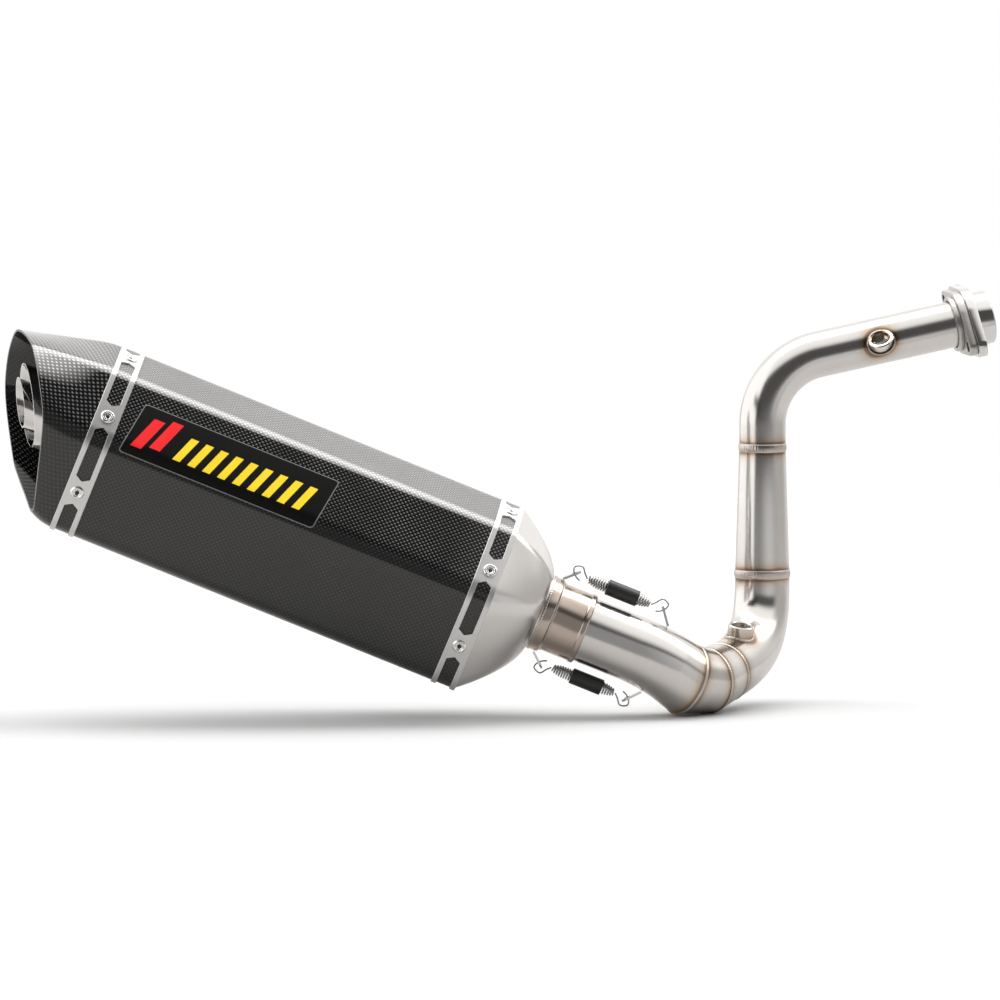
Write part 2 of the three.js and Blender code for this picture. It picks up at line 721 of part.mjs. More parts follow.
// Hanger bracket on the inner side: a foot held by the front strap's rivet on the upper inner
// facet, then a step outward to an upright lug that hangs level with the facet's lower half.
function hangerGeometry() {
  const seat = strapOutside + GAP / 3;
  const [top, bottom] = [0.82, 0.34].map((share) => {
    const { at, normal } = outlineAt(facetDistance(HANGER.facet, share));
    return [seat, seat + HANGER.thickness].map((offset) => at.clone().addScaledVector(normal, offset));
  });
  const lugInside = HANGER.lugY - HANGER.thickness;
  const bend = bottom[0].y - HANGER.step;
  const shoulder = bottom[1].clone().lerp(top[1], 0.08);
  const profile = new THREE.Shape();
  profile.moveTo(top[0].x, top[0].y);
  profile.lineTo(bottom[0].x, bottom[0].y);
  profile.lineTo(lugInside, bend);
  profile.lineTo(lugInside, HANGER.lugBottom);
  profile.lineTo(HANGER.lugY, HANGER.lugBottom);
  profile.lineTo(HANGER.lugY, bend + HANGER.thickness);
  profile.lineTo(shoulder.x, shoulder.y);
  profile.lineTo(top[1].x, top[1].y);
  const geometry = plate(profile, HANGER.width);
  geometry.applyMatrix4(ACROSS_TO_ALONG);
  geometry.translate(FRONT_STRAP_X - HANGER.width / 2, 0, 0);
  const bolt = rod(
    new THREE.Vector3(FRONT_STRAP_X, lugInside - 1, HANGER.boltZ),
    new THREE.Vector3(FRONT_STRAP_X, HANGER.lugY + 1, HANGER.boltZ),
    HANGER.boltRadius,
  );
  const drill = wallRod(FRONT_STRAP_X, rivetDistances[HANGER.facet], RIVET_HOLE_RADIUS, 0, 12);
  return cut(geometry, bolt, drill);
}
steel(silencer, "hanger_bracket", hangerGeometry());

// ---------------------------------------------------------------- spring tabs and springs

// Everything at the slip joint is drawn in the plane of the silencer's axis: x along the axis,
// r away from it, and side +1 above the axis or -1 below it.
function jointPoint(x, r, side, y = 0) {
  return new THREE.Vector3(x, y, BORE_HEIGHT + side * r);
}

// A drilled strip that leans out from the pipe: it starts at the foot, passes through the eye
// and ends a little further on.
function springTab({ x, radius, drop }, eyeX, side) {
  const foot = jointPoint(x, radius - side * drop, side);
  const eye = jointPoint(eyeX, SPRING_HEIGHT, side);
  const length = foot.distanceTo(eye);
  const shape = new THREE.Shape();
  shape.moveTo(-TAB_HALF_WIDTH - 1, 0);
  shape.lineTo(TAB_HALF_WIDTH + 1, 0);
  shape.lineTo(TAB_HALF_WIDTH, length);
  shape.absarc(0, length, TAB_HALF_WIDTH, 0, Math.PI, false);
  shape.holes.push(circlePath(0, length, TAB_HOLE_RADIUS));
  const geometry = plate(shape, TAB_THICKNESS);
  geometry.translate(0, 0, -TAB_THICKNESS / 2);
  const up = eye.clone().sub(foot).normalize();
  const across = new THREE.Vector3(0, 1, 0);
  const basis = new THREE.Matrix4().makeBasis(across, up, across.clone().cross(up));
  geometry.applyMatrix4(basis);
  geometry.translate(foot.x, foot.y, foot.z);
  return geometry;
}

// One end of a spring: from the coil's end, over the tip of the tab, back through its eye and
// out as a short straight prong. Towards is the direction along the axis from eye to coil.
function springHook(eyeX, coilX, towards, side) {
  const place = (dx, r) => jointPoint(eyeX + towards * dx, r, side);
  const path = new THREE.CatmullRomCurve3([
    jointPoint(coilX + towards * 1.5, SPRING_HEIGHT, side),
    place(7.5, SPRING_HEIGHT + 3),
    place(3.6, SPRING_HEIGHT + 7.4),
    place(-1.8, SPRING_HEIGHT + 5.6),
    place(-1.6, SPRING_HEIGHT + 1.6),
    place(1.7, SPRING_HEIGHT - 1.9),
    place(5.4, SPRING_HEIGHT - 3.6),
  ]);
  const wire = new THREE.Shape();
  wire.absarc(0, 0, SPRING_WIRE_RADIUS, 0, FULL_TURN, false);
  return new THREE.ExtrudeGeometry(wire, {
    steps: 14,
    curveSegments: 3,
    bevelEnabled: false,
    extrudePath: path,
  });
}

const coilMiddle = (SILENCER_EYE_X + LINK_EYE_X) / 2;
const coilRear = coilMiddle - SPRING_COIL_LENGTH / 2;
const coilFront = coilMiddle + SPRING_COIL_LENGTH / 2;

// The close-wound coil is drawn as a plain rod whose ends taper to the wire.
function spring(side) {
  const taper = 4;
  const coil = turned(
    [
      [coilRear, 0],
      [coilRear, 2],
      [coilRear + taper, SPRING_COIL_RADIUS],
      [coilFront - taper, SPRING_COIL_RADIUS],
      [coilFront, 2],
      [coilFront, 0],
    ],
    SMALL_SIDES,
  );
  coil.translate(0, 0, BORE_HEIGHT + side * SPRING_HEIGHT);
  const rearHook = springHook(SILENCER_EYE_X, coilRear, 1, side);
  const frontHook = springHook(LINK_EYE_X, coilFront, -1, side);
  return join(coil, rearHook, frontHook);
}

function rubberSleeve(x, side) {
  const rear = x - RUBBER_LENGTH / 2;
  const front = x + RUBBER_LENGTH / 2;
  const bore = SPRING_COIL_RADIUS + 0.4;
  const geometry = turned(
    [
      [rear, bore],
      [rear, RUBBER_RADIUS],
      [front, RUBBER_RADIUS],
      [front, bore],
    ],
    SMALL_SIDES,
  );
  geometry.translate(0, 0, BORE_HEIGHT + side * SPRING_HEIGHT);
  return geometry;
}

for (const [word, side] of Object.entries({ upper: 1, lower: -1 })) {
  steel(silencer, `${word}_silencer_tab`, springTab(SILENCER_TAB_FOOT, SILENCER_EYE_X, side));
  steel(silencer, `${word}_link_tab`, springTab(LINK_TAB_FOOT, LINK_EYE_X, side));
  polished(silencer, `${word}_spring`, spring(side));
  add(silencer, `${word}_rubber_sleeve`, rubberSleeve(RUBBER_X, side), 0x141414, 0.7, 0);
}

// ---------------------------------------------------------------- pipes

// Loops of a pipe through its stations. Each station has a place, the pipe's direction, its
// radius, and the normal of the plane in which the loop lies (the direction, unless mitred).
function pipeLoops(stations, inset) {
  const first = stations[0].direction;
  const away = new THREE.Vector3(0, 1, 0);
  let across = away.clone().addScaledVector(first, -away.dot(first)).normalize();
  let before = first;
  return stations.map(({ at, direction, radius, plane = direction }) => {
    const turn = new THREE.Quaternion().setFromUnitVectors(before, direction);
    across = across.clone().applyQuaternion(turn);
    before = direction;
    const up = direction.clone().cross(across);
    const loop = [];
    for (let side = 0; side < ROUND_SIDES; side++) {
      const angle = (FULL_TURN * side) / ROUND_SIDES;
      const radial = across.clone().multiplyScalar(Math.cos(angle));
      radial.addScaledVector(up, Math.sin(angle));
      const point = at.clone().addScaledVector(radial, radius - inset);
      const slide = at.clone().sub(point).dot(plane) / direction.dot(plane);
      loop.push(point.addScaledVector(direction, slide));
    }
    return loop;
  });
}

function pipe(stations) {
  return ringSolid([...pipeLoops(stations, 0), ...pipeLoops(stations, PIPE_WALL).reverse()]);
}

// The same pipe as a filled solid that is larger all round, to cut what is fitted against it.
function pipeClearance(stations) {
  return cappedSolid(pipeLoops(stations, -GAP));
}

function station(at, direction, radius, plane) {
  return { at: at.clone(), direction: direction.clone(), radius, plane: plane?.clone() };
}

function heading(inward, climb) {
  const flat = Math.cos(climb);
  return new THREE.Vector3(flat * Math.cos(inward), flat * Math.sin(inward), Math.sin(climb));
}

// Moves both end stations towards the middle, to leave the gap for a weld.
function withWeldGaps(stations) {
  const first = stations[0];
  const last = stations[stations.length - 1];
  first.at.addScaledVector(first.direction, GAP / 2);
  last.at.addScaledVector(last.direction, -GAP / 2);
  return stations;
}

// Link pipe: straight inside the sleeve, then a wide bend inward and down to the elbow.
const axis = new THREE.Vector3(Math.cos(SILENCER_TILT), 0, -Math.sin(SILENCER_TILT));
const axisUp = new THREE.Vector3(Math.sin(SILENCER_TILT), 0, Math.cos(SILENCER_TILT));
const onAxis = (x) => SILENCER_ORIGIN.clone().addScaledVector(axis, x).addScaledVector(axisUp, BORE_HEIGHT);
const bendStart = onAxis(LINK_BEND_X);
const bendToward = new THREE.Vector3(0, Math.cos(LINK_BEND_DROP), 0);
bendToward.addScaledVector(axisUp, -Math.sin(LINK_BEND_DROP));
const bendCentre = bendStart.clone().addScaledVector(bendToward, LINK_BEND_RADIUS);
const linkStations = [station(onAxis(LINK_START_X), axis, LINK_RADIUS)];
const linkBendSteps = 3;
for (let step = 0; step <= linkBendSteps; step++) {
  const angle = (LINK_BEND_ANGLE * step) / linkBendSteps;
  const at = bendCentre.clone().addScaledVector(bendToward, -LINK_BEND_RADIUS * Math.cos(angle));
  at.addScaledVector(axis, LINK_BEND_RADIUS * Math.sin(angle));
  const direction = axis.clone().multiplyScalar(Math.cos(angle));
  direction.addScaledVector(bendToward, Math.sin(angle));
  const radius = THREE.MathUtils.lerp(LINK_RADIUS, LINK_END_RADIUS, step / linkBendSteps);
  linkStations.push(station(at, direction, radius));
}

// Elbow: two short straight segments, mitred to their neighbours, then a swept bend.
const segmentHeadings = ELBOW_HEADINGS.map(([inward, climb]) => heading(inward * DEGREES, climb * DEGREES));
const linkEnd = linkStations[linkStations.length - 1];
const bisector = (a, b) => a.clone().add(b).normalize();
linkEnd.plane = bisector(linkEnd.direction, segmentHeadings[0]);
const header = new THREE.Group();
group.add(header);

const segmentStarts = [linkEnd.at.clone()];
segmentHeadings.forEach((direction, i) => {
  segmentStarts.push(segmentStarts[i].clone().addScaledVector(direction, ELBOW_LENGTHS[i]));
});
const bendPoints = [
  segmentStarts[2],
  segmentStarts[2].clone().addScaledVector(segmentHeadings[1], LOWER_BEND_PULL[0]),
  new THREE.Vector3(RISER_X, RISER_Y, RISER_BOTTOM - LOWER_BEND_PULL[1]),
  new THREE.Vector3(RISER_X, RISER_Y, RISER_BOTTOM),
];
const lowerCurve = new THREE.CubicBezierCurve3(...bendPoints);
const lowerStart = lowerCurve.getTangent(0);
const segmentPlanes = [
  linkEnd.plane,
  bisector(segmentHeadings[0], segmentHeadings[1]),
  bisector(segmentHeadings[1], lowerStart),
];
const segmentRadii = [LINK_END_RADIUS, ...ELBOW_RADII];
const segmentNames = ["elbow_segment_rear", "elbow_segment_front"];

linkEnd.at.addScaledVector(linkEnd.direction, -GAP / 2);
steel(header, "link_pipe", pipe(linkStations));
segmentHeadings.forEach((direction, i) => {
  const ends = [0, 1].map((end) => {
    return station(segmentStarts[i + end], direction, segmentRadii[i + end], segmentPlanes[i + end]);
  });
  steel(header, segmentNames[i], pipe(withWeldGaps(ends)));
});

const lowerSteps = 7;
const lowerStations = [];
for (let step = 0; step <= lowerSteps; step++) {
  const share = step / lowerSteps;
  const radius = THREE.MathUtils.lerp(ELBOW_RADII[1], RISER_RADIUS, share);
  lowerStations.push(station(lowerCurve.getPointAt(share), lowerCurve.getTangentAt(share), radius));
}
const upward = new THREE.Vector3(0, 0, 1);
lowerStations[lowerSteps] = station(bendPoints[3], upward, RISER_RADIUS);
lowerStations.push(station(new THREE.Vector3(RISER_X, RISER_Y, LOWER_WELD), upward, RISER_RADIUS));
withWeldGaps(lowerStations);

// Rear sensor boss: a short drilled stub standing on the start of the swept bend.
const alongRearBoss = (reach) => REAR_BOSS.mouth.clone().addScaledVector(REAR_BOSS.axis, reach);
const rearBossBore = rod(alongRearBoss(5), alongRearBoss(-REAR_BOSS.drilling), BOSS_BORE);
const segmentClearances = segmentHeadings.map((direction, i) =>
  pipeClearance([0, 1].map((end) => {
    return station(segmentStarts[i + end], direction, segmentRadii[i + end], segmentPlanes[i + end]);
  })),
);
const rearBoss = cut(
  rod(alongRearBoss(-REAR_BOSS.length), REAR_BOSS.mouth, BOSS_RADIUS, ROUND_SIDES),
  pipeClearance(lowerStations),
  ...segmentClearances,
  rearBossBore,
);
steel(header, "rear_sensor_boss", rearBoss);
steel(header, "lower_bend", cut(pipe(lowerStations), rearBossBore));

// Riser: a long cone from the lower bend up to the header pipe.
const riserStations = [
  station(new THREE.Vector3(RISER_X, RISER_Y, LOWER_WELD), upward, RISER_RADIUS),
  station(new THREE.Vector3(RISER_X, RISER_Y, UPPER_WELD), upward, HEADER_RADIUS),
];
steel(header, "riser_cone", pipe(withWeldGaps(riserStations)));

// Header pipe: up from the riser, round one bend and straight to the head. It is drawn in a
// plane of its own, with the riser's axis as its origin, that turns inward about that axis.
const upper = new THREE.Group();
upper.position.set(RISER_X, RISER_Y, 0);
upper.rotation.z = HEADER_YAW;
header.add(upper);
const headerSweep = 90 * DEGREES - HEADER_RISE;
const headerCentre = new THREE.Vector3(HEADER_BEND_RADIUS, 0, HEADER_BEND_START);
const headerDirection = new THREE.Vector3(Math.cos(HEADER_RISE), 0, Math.sin(HEADER_RISE));
const headerStations = [station(new THREE.Vector3(0, 0, UPPER_WELD), upward, HEADER_RADIUS)];
const headerSteps = 6;
for (let step = 0; step <= headerSteps; step++) {
  const angle = (headerSweep * step) / headerSteps;
  const outward = new THREE.Vector3(-Math.cos(angle), 0, Math.sin(angle));
  const direction = new THREE.Vector3(Math.sin(angle), 0, Math.cos(angle));
  const at = headerCentre.clone().addScaledVector(outward, HEADER_BEND_RADIUS);
  headerStations.push(station(at, direction, HEADER_RADIUS));
}
const straightStart = headerStations[headerStations.length - 1].at.clone();
const straightEnd = straightStart.clone().addScaledVector(headerDirection, HEADER_STRAIGHT);
headerStations.push(station(straightEnd, headerDirection, HEADER_RADIUS));
withWeldGaps(headerStations);

// The straight end of the header in its own frame: x along the pipe, y inward, z up from it.
const head = new THREE.Group();
head.position.copy(straightStart);
head.rotation.y = -HEADER_RISE;
upper.add(head);
head.updateMatrix();

// Front sensor boss: it leaves the outer side of the pipe and turns up to its mouth.
function frontBossLoops() {
  const { base, bendY, mouth, axis: lean, reachX, reachZ } = FRONT_BOSS;
  const first = new THREE.Vector3(1, 0, 0).projectOnPlane(lean).normalize();
  const second = lean.clone().cross(first);
  const loops = [[], [], []];
  for (let side = 0; side < ROUND_SIDES; side++) {
    const angle = (FULL_TURN * side) / ROUND_SIDES;
    const [cosine, sine] = [Math.cos(angle), Math.sin(angle)];
    const foot = new THREE.Vector3(cosine * reachX, 0, sine * reachZ).add(base);
    const rim = mouth.clone().addScaledVector(first, cosine * BOSS_RADIUS);
    rim.addScaledVector(second, sine * BOSS_RADIUS);
    loops[0].push(foot);
    loops[1].push(foot.clone().setY(bendY));
    loops[2].push(rim);
  }
  return loops;
}
const alongFrontBoss = (reach) => FRONT_BOSS.mouth.clone().addScaledVector(FRONT_BOSS.axis, reach);
const frontBossBores = [
  rod(alongFrontBoss(5), alongFrontBoss(-FRONT_BOSS.mouthDepth), BOSS_BORE),
  rod(FRONT_BOSS.drillFrom, FRONT_BOSS.drillFrom.clone().setY(0), FRONT_BOSS.drillRadius),
];
const headerClearance = rod(
  new THREE.Vector3(0, 0, 0),
  new THREE.Vector3(100, 0, 0),
  HEADER_RADIUS + GAP,
  ROUND_SIDES,
);
steel(head, "front_sensor_boss", cut(cappedSolid(frontBossLoops()), headerClearance, ...frontBossBores));
const headerDrill = frontBossBores[1].clone().applyMatrix4(head.matrix);
steel(upper, "header_pipe", cut(pipe(headerStations), headerDrill));

// Spigot ring welded to the end of the header: it seals in the port and holds the flange on.
const spigot = turned([
  [HEADER_STRAIGHT + GAP, HEADER_RADIUS - PIPE_WALL],
  [HEADER_STRAIGHT + GAP, SPIGOT_RADIUS],
  [HEADER_STRAIGHT + SPIGOT_LENGTH - 1, SPIGOT_RADIUS],
  [HEADER_STRAIGHT + SPIGOT_LENGTH, SPIGOT_RADIUS - 1],
  [HEADER_STRAIGHT + SPIGOT_LENGTH, HEADER_RADIUS - PIPE_WALL],
]);
polished(head, "head_spigot", spigot);

// Loose two-ear flange: a plate, a thicker body behind it and a hub, turning freely on the pipe.
function flangeShape(middleRadius, earRadius) {
  const spread = Math.acos((middleRadius - earRadius) / STUD_OFFSET);
  const shape = new THREE.Shape();
  shape.absarc(0, 0, middleRadius, spread, Math.PI - spread, false);
  shape.absarc(-STUD_OFFSET, 0, earRadius, Math.PI - spread, Math.PI + spread, false);
  shape.absarc(0, 0, middleRadius, Math.PI + spread, FULL_TURN - spread, false);
  shape.absarc(STUD_OFFSET, 0, earRadius, FULL_TURN - spread, FULL_TURN + spread, false);
  return shape;
}
function flangeGeometry() {
  const front = HEADER_STRAIGHT - FLANGE_SETBACK;
  const overlap = 1; // each layer reaches this far into the one before it
  const hubShape = new THREE.Shape();
  hubShape.absarc(0, 0, FLANGE_HUB.radius, 0, FULL_TURN, false);
  const layers = [
    [flangeShape(FLANGE_PLATE.radius, FLANGE_PLATE.ear), FLANGE_PLATE.thickness],
    [flangeShape(FLANGE_BODY.radius, FLANGE_BODY.ear), FLANGE_BODY.thickness],
    [hubShape, FLANGE_HUB.thickness],
  ];
  let start = front;
  const pieces = layers.map(([shape, thickness], i) => {
    start -= thickness;
    const layer = plate(shape, thickness + (i ? overlap : 0));
    layer.applyMatrix4(ACROSS_TO_ALONG);
    return layer.translate(start, 0, 0);
  });
  const drills = [-1, 0, 1].map((place) => {
    const radius = place ? STUD_HOLE_RADIUS : FLANGE_BORE;
    const from = new THREE.Vector3(start - 5, place * STUD_OFFSET, 0);
    return rod(from, from.clone().setX(front + 5), radius, place ? SMALL_SIDES : ROUND_SIDES);
  });
  const whole = cut(join(...pieces), ...drills);
  whole.rotateX(90 * DEGREES + FLANGE_ROLL);
  return whole;
}
steel(head, "head_flange", flangeGeometry());

// ---------------------------------------------------------------- origin

// The finished system rests its box on z = 0, centred over the origin.
group.updateMatrixWorld(true);
const extent = new THREE.Box3().setFromObject(group, true);
const middle = extent.getCenter(new THREE.Vector3());
group.position.set(-middle.x, -middle.y, -extent.min.z);

export default group;
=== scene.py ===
import math

import bmesh
import bpy
from mathutils import Matrix, Quaternion, Vector, kdtree


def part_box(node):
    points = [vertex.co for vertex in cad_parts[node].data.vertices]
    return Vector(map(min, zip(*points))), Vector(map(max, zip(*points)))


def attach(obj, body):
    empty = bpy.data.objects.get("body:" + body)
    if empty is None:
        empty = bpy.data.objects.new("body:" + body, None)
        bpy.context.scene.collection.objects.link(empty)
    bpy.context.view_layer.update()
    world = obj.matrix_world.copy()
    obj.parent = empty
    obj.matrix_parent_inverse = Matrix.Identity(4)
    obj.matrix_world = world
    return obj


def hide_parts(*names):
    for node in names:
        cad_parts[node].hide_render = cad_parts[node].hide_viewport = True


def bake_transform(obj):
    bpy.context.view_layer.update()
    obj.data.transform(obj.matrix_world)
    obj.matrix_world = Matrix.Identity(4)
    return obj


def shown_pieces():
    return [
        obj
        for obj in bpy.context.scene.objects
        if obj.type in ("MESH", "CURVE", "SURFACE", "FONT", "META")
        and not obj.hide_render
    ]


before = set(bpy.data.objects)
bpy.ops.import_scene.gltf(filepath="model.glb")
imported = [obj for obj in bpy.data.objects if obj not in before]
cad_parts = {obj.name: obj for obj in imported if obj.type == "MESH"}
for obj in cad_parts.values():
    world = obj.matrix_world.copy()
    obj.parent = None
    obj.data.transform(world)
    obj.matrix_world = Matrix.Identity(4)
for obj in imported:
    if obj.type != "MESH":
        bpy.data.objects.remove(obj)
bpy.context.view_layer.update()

# ------------------------------------------------------------------ dimensions, millimetres
GAP = 0.3
PIPE_WALL = 1.2
PIPE_SIDES = 72
TILT = math.radians(22)
SILENCER_ORIGIN = Vector((-320, 0, 47.6))
BORE_HEIGHT = 5.6
BODY_CORNERS = [(36.5, 77.5), (-29, 60), (-68, 6), (-36.5, -77.5), (29, -60), (68, -6)]
CORNER_RADII = [16, 17, 24, 16, 17, 24]
RIVET_SHARES = [0.5, 0.64, 0.53, 0.5, 0.64, 0.53]
CARBON_WALL = 1.8
STRAP_WIDTH = 20
STRAP_THICKNESS = 1
STRAP_PLACES = {"rear": 2.4, "front": 326.3}
STRAP_LAP = 1.4
WINDOW_WIDTH = 11.4
WINDOW_POINT = 3.6
WINDOW_FROM_RIVET = 10.5
RIVET_HEAD_RADIUS = 5.6
OUTLET_RADIUS = 30
OUTLET_INNER_RADIUS = 18
CAP_LENGTH = 100
CAP_SLASH = (-61.1, 0.385, 0.316, 0)
OUTLET_SLASH = (-59.5, 0.48, 0.23, BORE_HEIGHT)
INNER_SLASH = (-65.5, 0.48, 0.23, BORE_HEIGHT)
NECK_RADIUS = 30.4
INLET_CAP_LENGTH = 41.5
LINK_RADIUS = 26.5
SLEEVE_END_X = 415.5
LINK_START_X = 386
LINK_BEND_X = 456.7
LINK_BEND_RADIUS = 120
LINK_BEND_ANGLE = math.radians(23.5)
LINK_BEND_DROP = math.radians(50)
LINK_END_RADIUS = 27.8
ELBOW_HEADINGS = [(42, -6), (59.5, 9)]
ELBOW_LENGTHS = [23.3, 25.5]
ELBOW_RADII = [25.6, 23.8]
LOWER_BEND_PULL = [48, 45]
RISER_RADIUS = 21.8
HEADER_RADIUS = 18.5
RISER_X = 209.7
RISER_Y = 116.3
RISER_BOTTOM = -76.5
LOWER_WELD = -69.8
UPPER_WELD = 31.4
HEADER_BEND_RADIUS = 56
HEADER_BEND_START = 49.8
HEADER_YAW = math.radians(12.3)
HEADER_RISE = math.radians(11.3)
HEADER_STRAIGHT = 130.5
SPIGOT_LENGTH = 13.5
SPIGOT_RADIUS = 21.5
FLANGE_BORE = 19.2
STUD_OFFSET = 31
STUD_HOLE_RADIUS = 4.3
FLANGE_ROLL = math.radians(-56)
SPRING_HEIGHT = 38
SILENCER_EYE_X = 391.5
LINK_EYE_X = 467
SPRING_COIL_LENGTH = 53
SPRING_COIL_RADIUS = 5.1
SPRING_WIRE_RADIUS = 0.65
SPRING_PITCH = 2.15
RUBBER_LENGTH = 26
RUBBER_RADIUS = 6.4
RUBBER_X = 432
BOSS_RADIUS = 10.4
BOSS_BORE = 7.4
TOW = 2.0  # width of one carbon tow on the body
CAP_TOW = 2.5
CAP_CLOTH_TURN = math.radians(23)

CAMERA_DISTANCE = 10.0
CAMERA_LENS = 455.7
CAMERA_ELEVATION = math.radians(5.5)

# ------------------------------------------------------------------ frames of reference
AXIS = Vector((math.cos(TILT), 0, -math.sin(TILT)))
AXIS_UP = Vector((math.sin(TILT), 0, math.cos(TILT)))
low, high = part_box("rear_strap")
SHIFT = (low + high) / 2 * 1000 - (SILENCER_ORIGIN + AXIS * STRAP_PLACES["rear"])


def row(point):
    return (point + SHIFT) / 1000


def sil(x, y, z):
    return SILENCER_ORIGIN + AXIS * x + Vector((0, y, 0)) + AXIS_UP * z


def bore(x, y, z):
    return sil(x, y, z + BORE_HEIGHT)


TURN = Matrix.Rotation(HEADER_YAW, 3, "Z")
HEAD_START = Vector((HEADER_BEND_RADIUS - math.sin(HEADER_RISE) * HEADER_BEND_RADIUS, 0,
                     HEADER_BEND_START + math.cos(HEADER_RISE) * HEADER_BEND_RADIUS))
RISER_FOOT = Vector((RISER_X, RISER_Y, 0))
HEAD_TURN = TURN @ Matrix.Rotation(-HEADER_RISE, 3, "Y")


def upper(x, y, z):
    return RISER_FOOT + TURN @ Vector((x, y, z))


def head(x, y, z):
    return RISER_FOOT + TURN @ HEAD_START + HEAD_TURN @ Vector((x, y, z))


# ------------------------------------------------------------------ mesh helpers
def finish_mesh(name, points, faces, material, body, uvs=None, sharp=30, stands_for=()):
    """A shown piece from points in millimetres; uvs holds one pair for each corner of each face."""
    mesh = bpy.data.meshes.new(name)
    mesh.from_pydata([row(p) for p in points], [], faces)
    if uvs:
        layer = mesh.uv_layers.new(name="UVMap")
        for corner, uv in zip(layer.data, uvs):
            corner.uv = uv
    bm = bmesh.new()
    bm.from_mesh(mesh)
    bmesh.ops.recalc_face_normals(bm, faces=bm.faces)
    bm.to_mesh(mesh)
    bm.free()
    obj = bpy.data.objects.new(name, mesh)
    bpy.context.scene.collection.objects.link(obj)
    shade(mesh, sharp)
    mesh.materials.append(material)
    if body:
        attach(obj, body)
    if stands_for:
        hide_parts(*stands_for)
    return obj


def shade(mesh, sharp=30):
    mesh.shade_smooth()
    mesh.set_sharp_from_angle(angle=math.radians(sharp))


def skin(rows, closed_rows=True, across=None, along=None):
    """Faces between neighbouring rows, each a closed loop of equally many points."""
    count, sides = len(rows), len(rows[0])
    points = [p for one in rows for p in one]
    faces, uvs = [], []
    across = across or [j / sides for j in range(sides + 1)]
    along = along or [i / count for i in range(count + 1)]
    for i in range(count if closed_rows else count - 1):
        k = (i + 1) % count
        for j in range(sides):
            n = (j + 1) % sides
            faces.append((i * sides + j, i * sides + n, k * sides + n, k * sides + j))
            low_v, high_v = along[i], along[i + 1]
            uvs += [(across[j], low_v), (across[j + 1], low_v),
                    (across[j + 1], high_v), (across[j], high_v)]
    return points, faces, uvs


def capped(rows):
    points, faces, uvs = skin(rows, closed_rows=False)
    sides = len(rows[0])
    last = (len(rows) - 1) * sides
    faces += [tuple(range(sides)), tuple(last + j for j in range(sides))]
    uvs += [(0, 0)] * (2 * sides)
    return points, faces, uvs


def soften(profile, radius, steps=3):
    """A closed profile with each corner rounded."""
    out = []
    count = len(profile)
    for i, corner in enumerate(profile):
        here = Vector(corner)
        before = Vector(profile[i - 1]) - here
        after = Vector(profile[(i + 1) % count]) - here
        reach = min(radius, before.length * 0.45, after.length * 0.45)
        start = here + before.normalized() * reach
        end = here + after.normalized() * reach
        for step in range(steps + 1):
            t = step / steps
            out.append(tuple(start * (1 - t) ** 2 + here * (2 * t * (1 - t)) + end * t * t))
    return out


def lathe(name, profile, place, material, body, sides=96, stands_for=(), sharp=30, radius=0.25):
    """A closed profile of (x, radius) turned about the x axis of a frame."""
    profile = soften(profile, radius) if radius else profile
    rows = []
    for x, r in profile:
        angles = [2 * math.pi * j / sides for j in range(sides)]
        rows.append([place(x, math.cos(a) * r, math.sin(a) * r) for a in angles])
    points, faces, uvs = skin(rows)
    return finish_mesh(name, points, faces, material, body, uvs, sharp, stands_for)


def tube(path, radius, sides=10, closed=False, taper=None):
    """Rows of a wire along a path of points."""
    count = len(path)
    rows = []
    normal = None
    for i, point in enumerate(path):
        before = path[i - 1] if closed or i else path[i]
        after = path[(i + 1) % count] if closed or i + 1 < count else path[i]
        along = (after - before).normalized()
        if normal is None:
            guide = Vector((0, 0, 1)) if abs(along.z) < 0.9 else Vector((1, 0, 0))
            normal = along.cross(guide).normalized()
        normal = (normal - along * normal.dot(along)).normalized()
        side = along.cross(normal)
        r = radius * (taper(i / (count - 1)) if taper else 1)
        angles = [2 * math.pi * j / sides for j in range(sides)]
        rows.append([point + normal * math.cos(a) * r + side * math.sin(a) * r for a in angles])
    return rows


def joined(parts):
    """One list of points, faces and uvs from several."""
    points, faces, uvs = [], [], []
    for more_points, more_faces, more_uvs in parts:
        base = len(points)
        points += more_points
        faces += [tuple(base + i for i in face) for face in more_faces]
        uvs += more_uvs
    return points, faces, uvs


def carve(obj, *cutters):
    """Cuts closed shapes, given as points and faces, out of a piece."""
    for points, faces, _ in cutters:
        tool = finish_mesh("tool", points, faces, obj.data.materials[0], None)
        modifier = obj.modifiers.new("cut", "BOOLEAN")
        modifier.operation = "DIFFERENCE"
        modifier.solver = "EXACT"
        modifier.object = tool
        bpy.context.view_layer.update()
        graph = bpy.context.evaluated_depsgraph_get()
        result = bpy.data.meshes.new_from_object(obj.evaluated_get(graph))
        obj.modifiers.clear()
        obj.data = result
        bpy.data.objects.remove(tool)
    shade(obj.data)
    return obj


def rod(start, end, radius, sides=48):
    along = (end - start).normalized()
    guide = Vector((0, 0, 1)) if abs(along.z) < 0.9 else Vector((1, 0, 0))
    first = along.cross(guide).normalized()
    second = along.cross(first)
    angles = [2 * math.pi * j / sides for j in range(sides)]
    ring = [first * math.cos(a) * radius + second * math.sin(a) * radius for a in angles]
    return capped([[start + p for p in ring], [end + p for p in ring]])


# ------------------------------------------------------------------ materials
def new_material(name):
    material = bpy.data.materials.new(name)
    material.use_nodes = True
    tree = material.node_tree
    return material, tree, tree.nodes["Principled BSDF"]


def node(tree, kind, inputs=None, **settings):
    made = tree.nodes.new(kind)
    for key, value in settings.items():
        setattr(made, key, value)
    for key, value in (inputs or {}).items():
        if hasattr(value, "is_output"):
            tree.links.new(value, made.inputs[key])
        else:
            made.inputs[key].default_value = value
    return made


